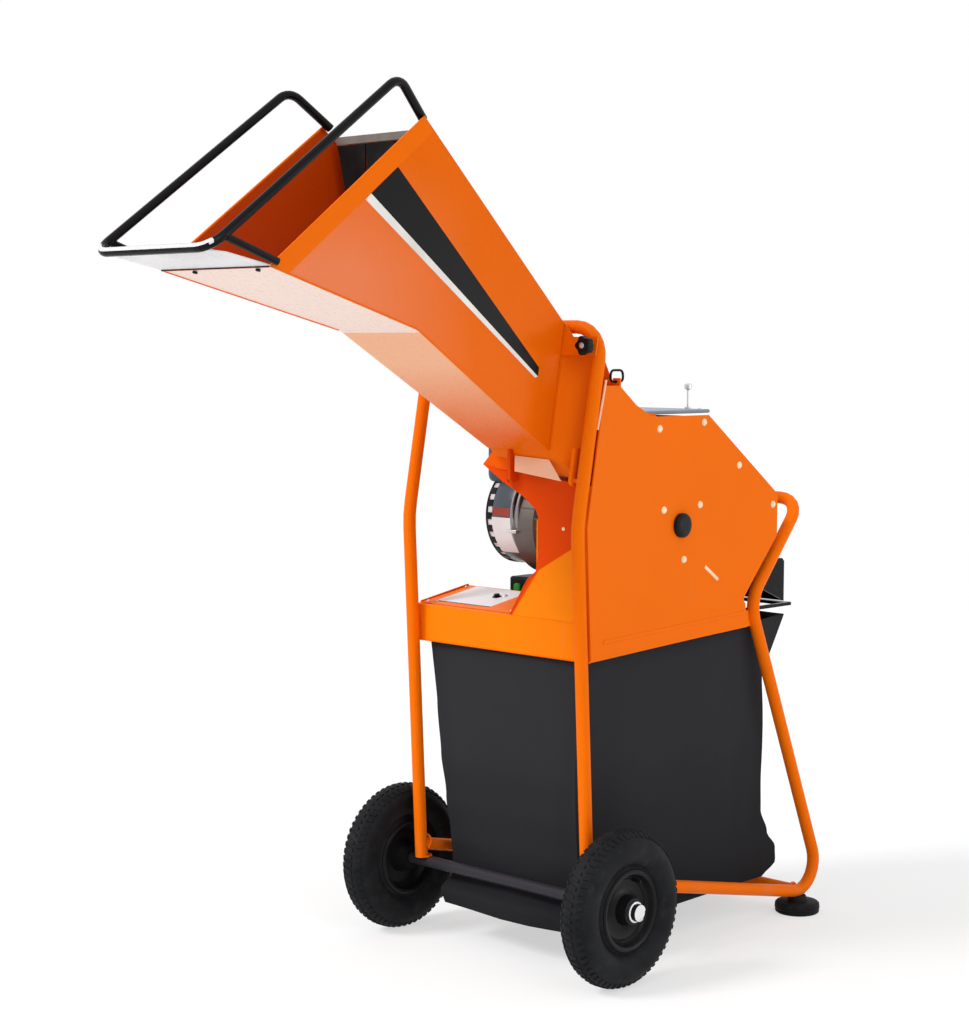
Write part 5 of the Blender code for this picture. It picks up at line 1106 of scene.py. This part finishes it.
def lifting_ring():
    """A round-cornered ring of black wire."""
    low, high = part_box("lifting_ring")
    x = (low.x + high.x) / 2
    y = (low.y + high.y) / 2
    corners = [(x, low.y + 0.002, low.z + 0.002), (x, high.y - 0.002, low.z + 0.002),
               (x, high.y - 0.003, high.z - 0.002), (x, low.y + 0.003, high.z - 0.002)]
    make("lifting_ring_wire", sweep(rounded(corners, 0.0085, 8, True), 0.0020, 14, True), BLACK,
         "lifting_ring", ["lifting_ring"], 60)


def box_detail():
    """Screws in the corners of the control box's lid."""
    low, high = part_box("control_box_lid")
    inset = 0.014
    screws = [dome_rivet((x, y, high.z), (0, 0, 1), 0.0034)
              for x in (low.x + inset, high.x - inset) for y in (low.y + inset, high.y - inset)]
    make("control_box_screws", gather(*screws), ZINC, "frame")


# Floor, light and camera

def wire(tree, kind, settings, sockets):
    """Add a node to a tree, with its settings and its socket values or links."""
    made = tree.nodes.new(kind)
    for key, value in settings.items():
        setattr(made, key, value)
    for key, value in sockets.items():
        if isinstance(value, bpy.types.NodeSocket):
            tree.links.new(value, made.inputs[key])
        else:
            made.inputs[key].default_value = value
    return made


def seen_rays(tree, *kinds):
    """1 for the named kinds of ray, else 0."""
    path = tree.nodes.new("ShaderNodeLightPath")
    found = path.outputs[kinds[0]]
    for kind in kinds[1:]:
        found = wire(tree, "ShaderNodeMath", {"operation": 'MAXIMUM'},
                     {0: found, 1: path.outputs[kind]}).outputs[0]
    return found


def colours_by(tree, factor, first, second):
    return wire(tree, "ShaderNodeMix", {"data_type": 'RGBA'},
                {0: factor, 6: first, 7: second}).outputs[2]


def grey(level):
    return (level, level, level, 1.0)


def floor():
    """Pale floor: grey to the light, near white to the camera, with the object's shadow."""
    disc = fresh()
    bmesh.ops.create_circle(disc, cap_ends=True, segments=96, radius=FLOOR_RADIUS)
    mesh = bpy.data.meshes.new("floor")
    disc.to_mesh(mesh)
    disc.free()
    ground = bpy.data.objects.new("floor", mesh)
    bpy.context.scene.collection.objects.link(ground)
    paint = bpy.data.materials.new("pale_floor")
    paint.use_nodes = True
    tree = paint.node_tree
    shader = tree.nodes["Principled BSDF"]
    shader.inputs["Roughness"].default_value = 0.9
    shader.inputs["Specular IOR Level"].default_value = 0.0
    shader.inputs["Emission Strength"].default_value = 1.0
    seen = seen_rays(tree, "Is Camera Ray", "Is Glossy Ray")
    tree.links.new(colours_by(tree, seen, grey(FLOOR_PALE), grey(FLOOR_SEEN)),
                   shader.inputs["Base Color"])
    tree.links.new(colours_by(tree, seen, grey(0.0), grey(FLOOR_GLOW)),
                   shader.inputs["Emission Color"])
    mesh.materials.append(paint)


def surround():
    """White to the camera and in reflections, and a plain soft light on the object."""
    world = bpy.data.worlds.new("studio")
    bpy.context.scene.world = world
    world.use_nodes = True
    tree = world.node_tree
    seen = seen_rays(tree, "Is Camera Ray", "Is Glossy Ray", "Is Transmission Ray")
    tree.links.new(colours_by(tree, seen, grey(SKY), grey(1.0)),
                   tree.nodes["Background"].inputs["Color"])


def hang_lamp(lamp, place, toward):
    """Put a lamp at a place, with its light coming from the direction toward."""
    holder = bpy.data.objects.new(lamp.name, lamp)
    holder.location = place
    holder.rotation_euler = toward.to_track_quat('Z', 'Y').to_euler()
    bpy.context.scene.collection.objects.link(holder)


def lamps():
    """Two wide suns, and one area lamp from the back at the near side."""
    for name, toward, level, angle in SUNS:
        lamp = bpy.data.lights.new(name, 'SUN')
        lamp.energy = level
        lamp.angle = math.radians(angle)
        hang_lamp(lamp, (0, 0, 0), Vector(toward))
    name, place, size, power = SIDE_LAMP
    lamp = bpy.data.lights.new(name, 'AREA')
    lamp.shape = 'RECTANGLE'
    lamp.size, lamp.size_y = size
    lamp.energy = power
    hang_lamp(lamp, place, Vector(place) - Vector(SIDE_LAMP_TARGET))


FLOOR_RADIUS = 5.0
# The floor's colour under the light, and its colour and glow as the camera sees it
FLOOR_PALE = 0.86
FLOOR_SEEN = 0.45
FLOOR_GLOW = 0.56
SKY = 0.64
# Name, direction that the light comes from, strength, and angle across in degrees
SUNS = (("key_sun", (-0.304, -0.695, 0.652), 1.9, 18.0), ("fill_sun", (0.8, -0.3, 0.5), 0.5, 30.0))
# Name, place, size and power in watts
SIDE_LAMP = ("side_lamp", (3.0, 2.35, 0.75), (1.0, 0.8), 12.6)
SIDE_LAMP_TARGET = (0, 0, 0.9)
# Place from the floor point under the axle, angles in degrees and lens in millimetres
CAMERA_PLACE = (2.3723, -2.5045, 1.0254)
CAMERA_TURN = 43.993
CAMERA_DIP = 4.512
CAMERA_ROLL = 0.187
CAMERA_LENS = 73.025


def camera():
    """The photograph's view."""
    scene = bpy.context.scene
    turn = math.radians(CAMERA_TURN)
    dip = math.radians(CAMERA_DIP)
    back = Vector((math.sin(turn) * math.cos(dip), -math.cos(turn) * math.cos(dip), math.sin(dip)))
    right = Vector((math.cos(turn), math.sin(turn), 0.0))
    up = back.cross(right)
    roll = math.radians(CAMERA_ROLL)
    right, up = (right * math.cos(roll) + up * math.sin(roll),
                 up * math.cos(roll) - right * math.sin(roll))
    data = bpy.data.cameras.new("photo_camera")
    data.lens = CAMERA_LENS
    data.sensor_width = 36.0
    holder = bpy.data.objects.new("photo_camera", data)
    facing = Matrix((right, up, back)).transposed()
    holder.matrix_world = Matrix.Translation(spot(*CAMERA_PLACE)) @ facing.to_4x4()
    scene.collection.objects.link(holder)
    scene.camera = holder
    scene.view_settings.view_transform = 'Standard'


camera()
floor()
surround()
lamps()
finish_nodes()
wheels()
feet()
frame_welds()
plate_bolts()
neck_detail()
tray_detail()
motor()
bag()
hopper_detail()
side_films()
knob()
curtain()
lifting_ring()
box_detail()
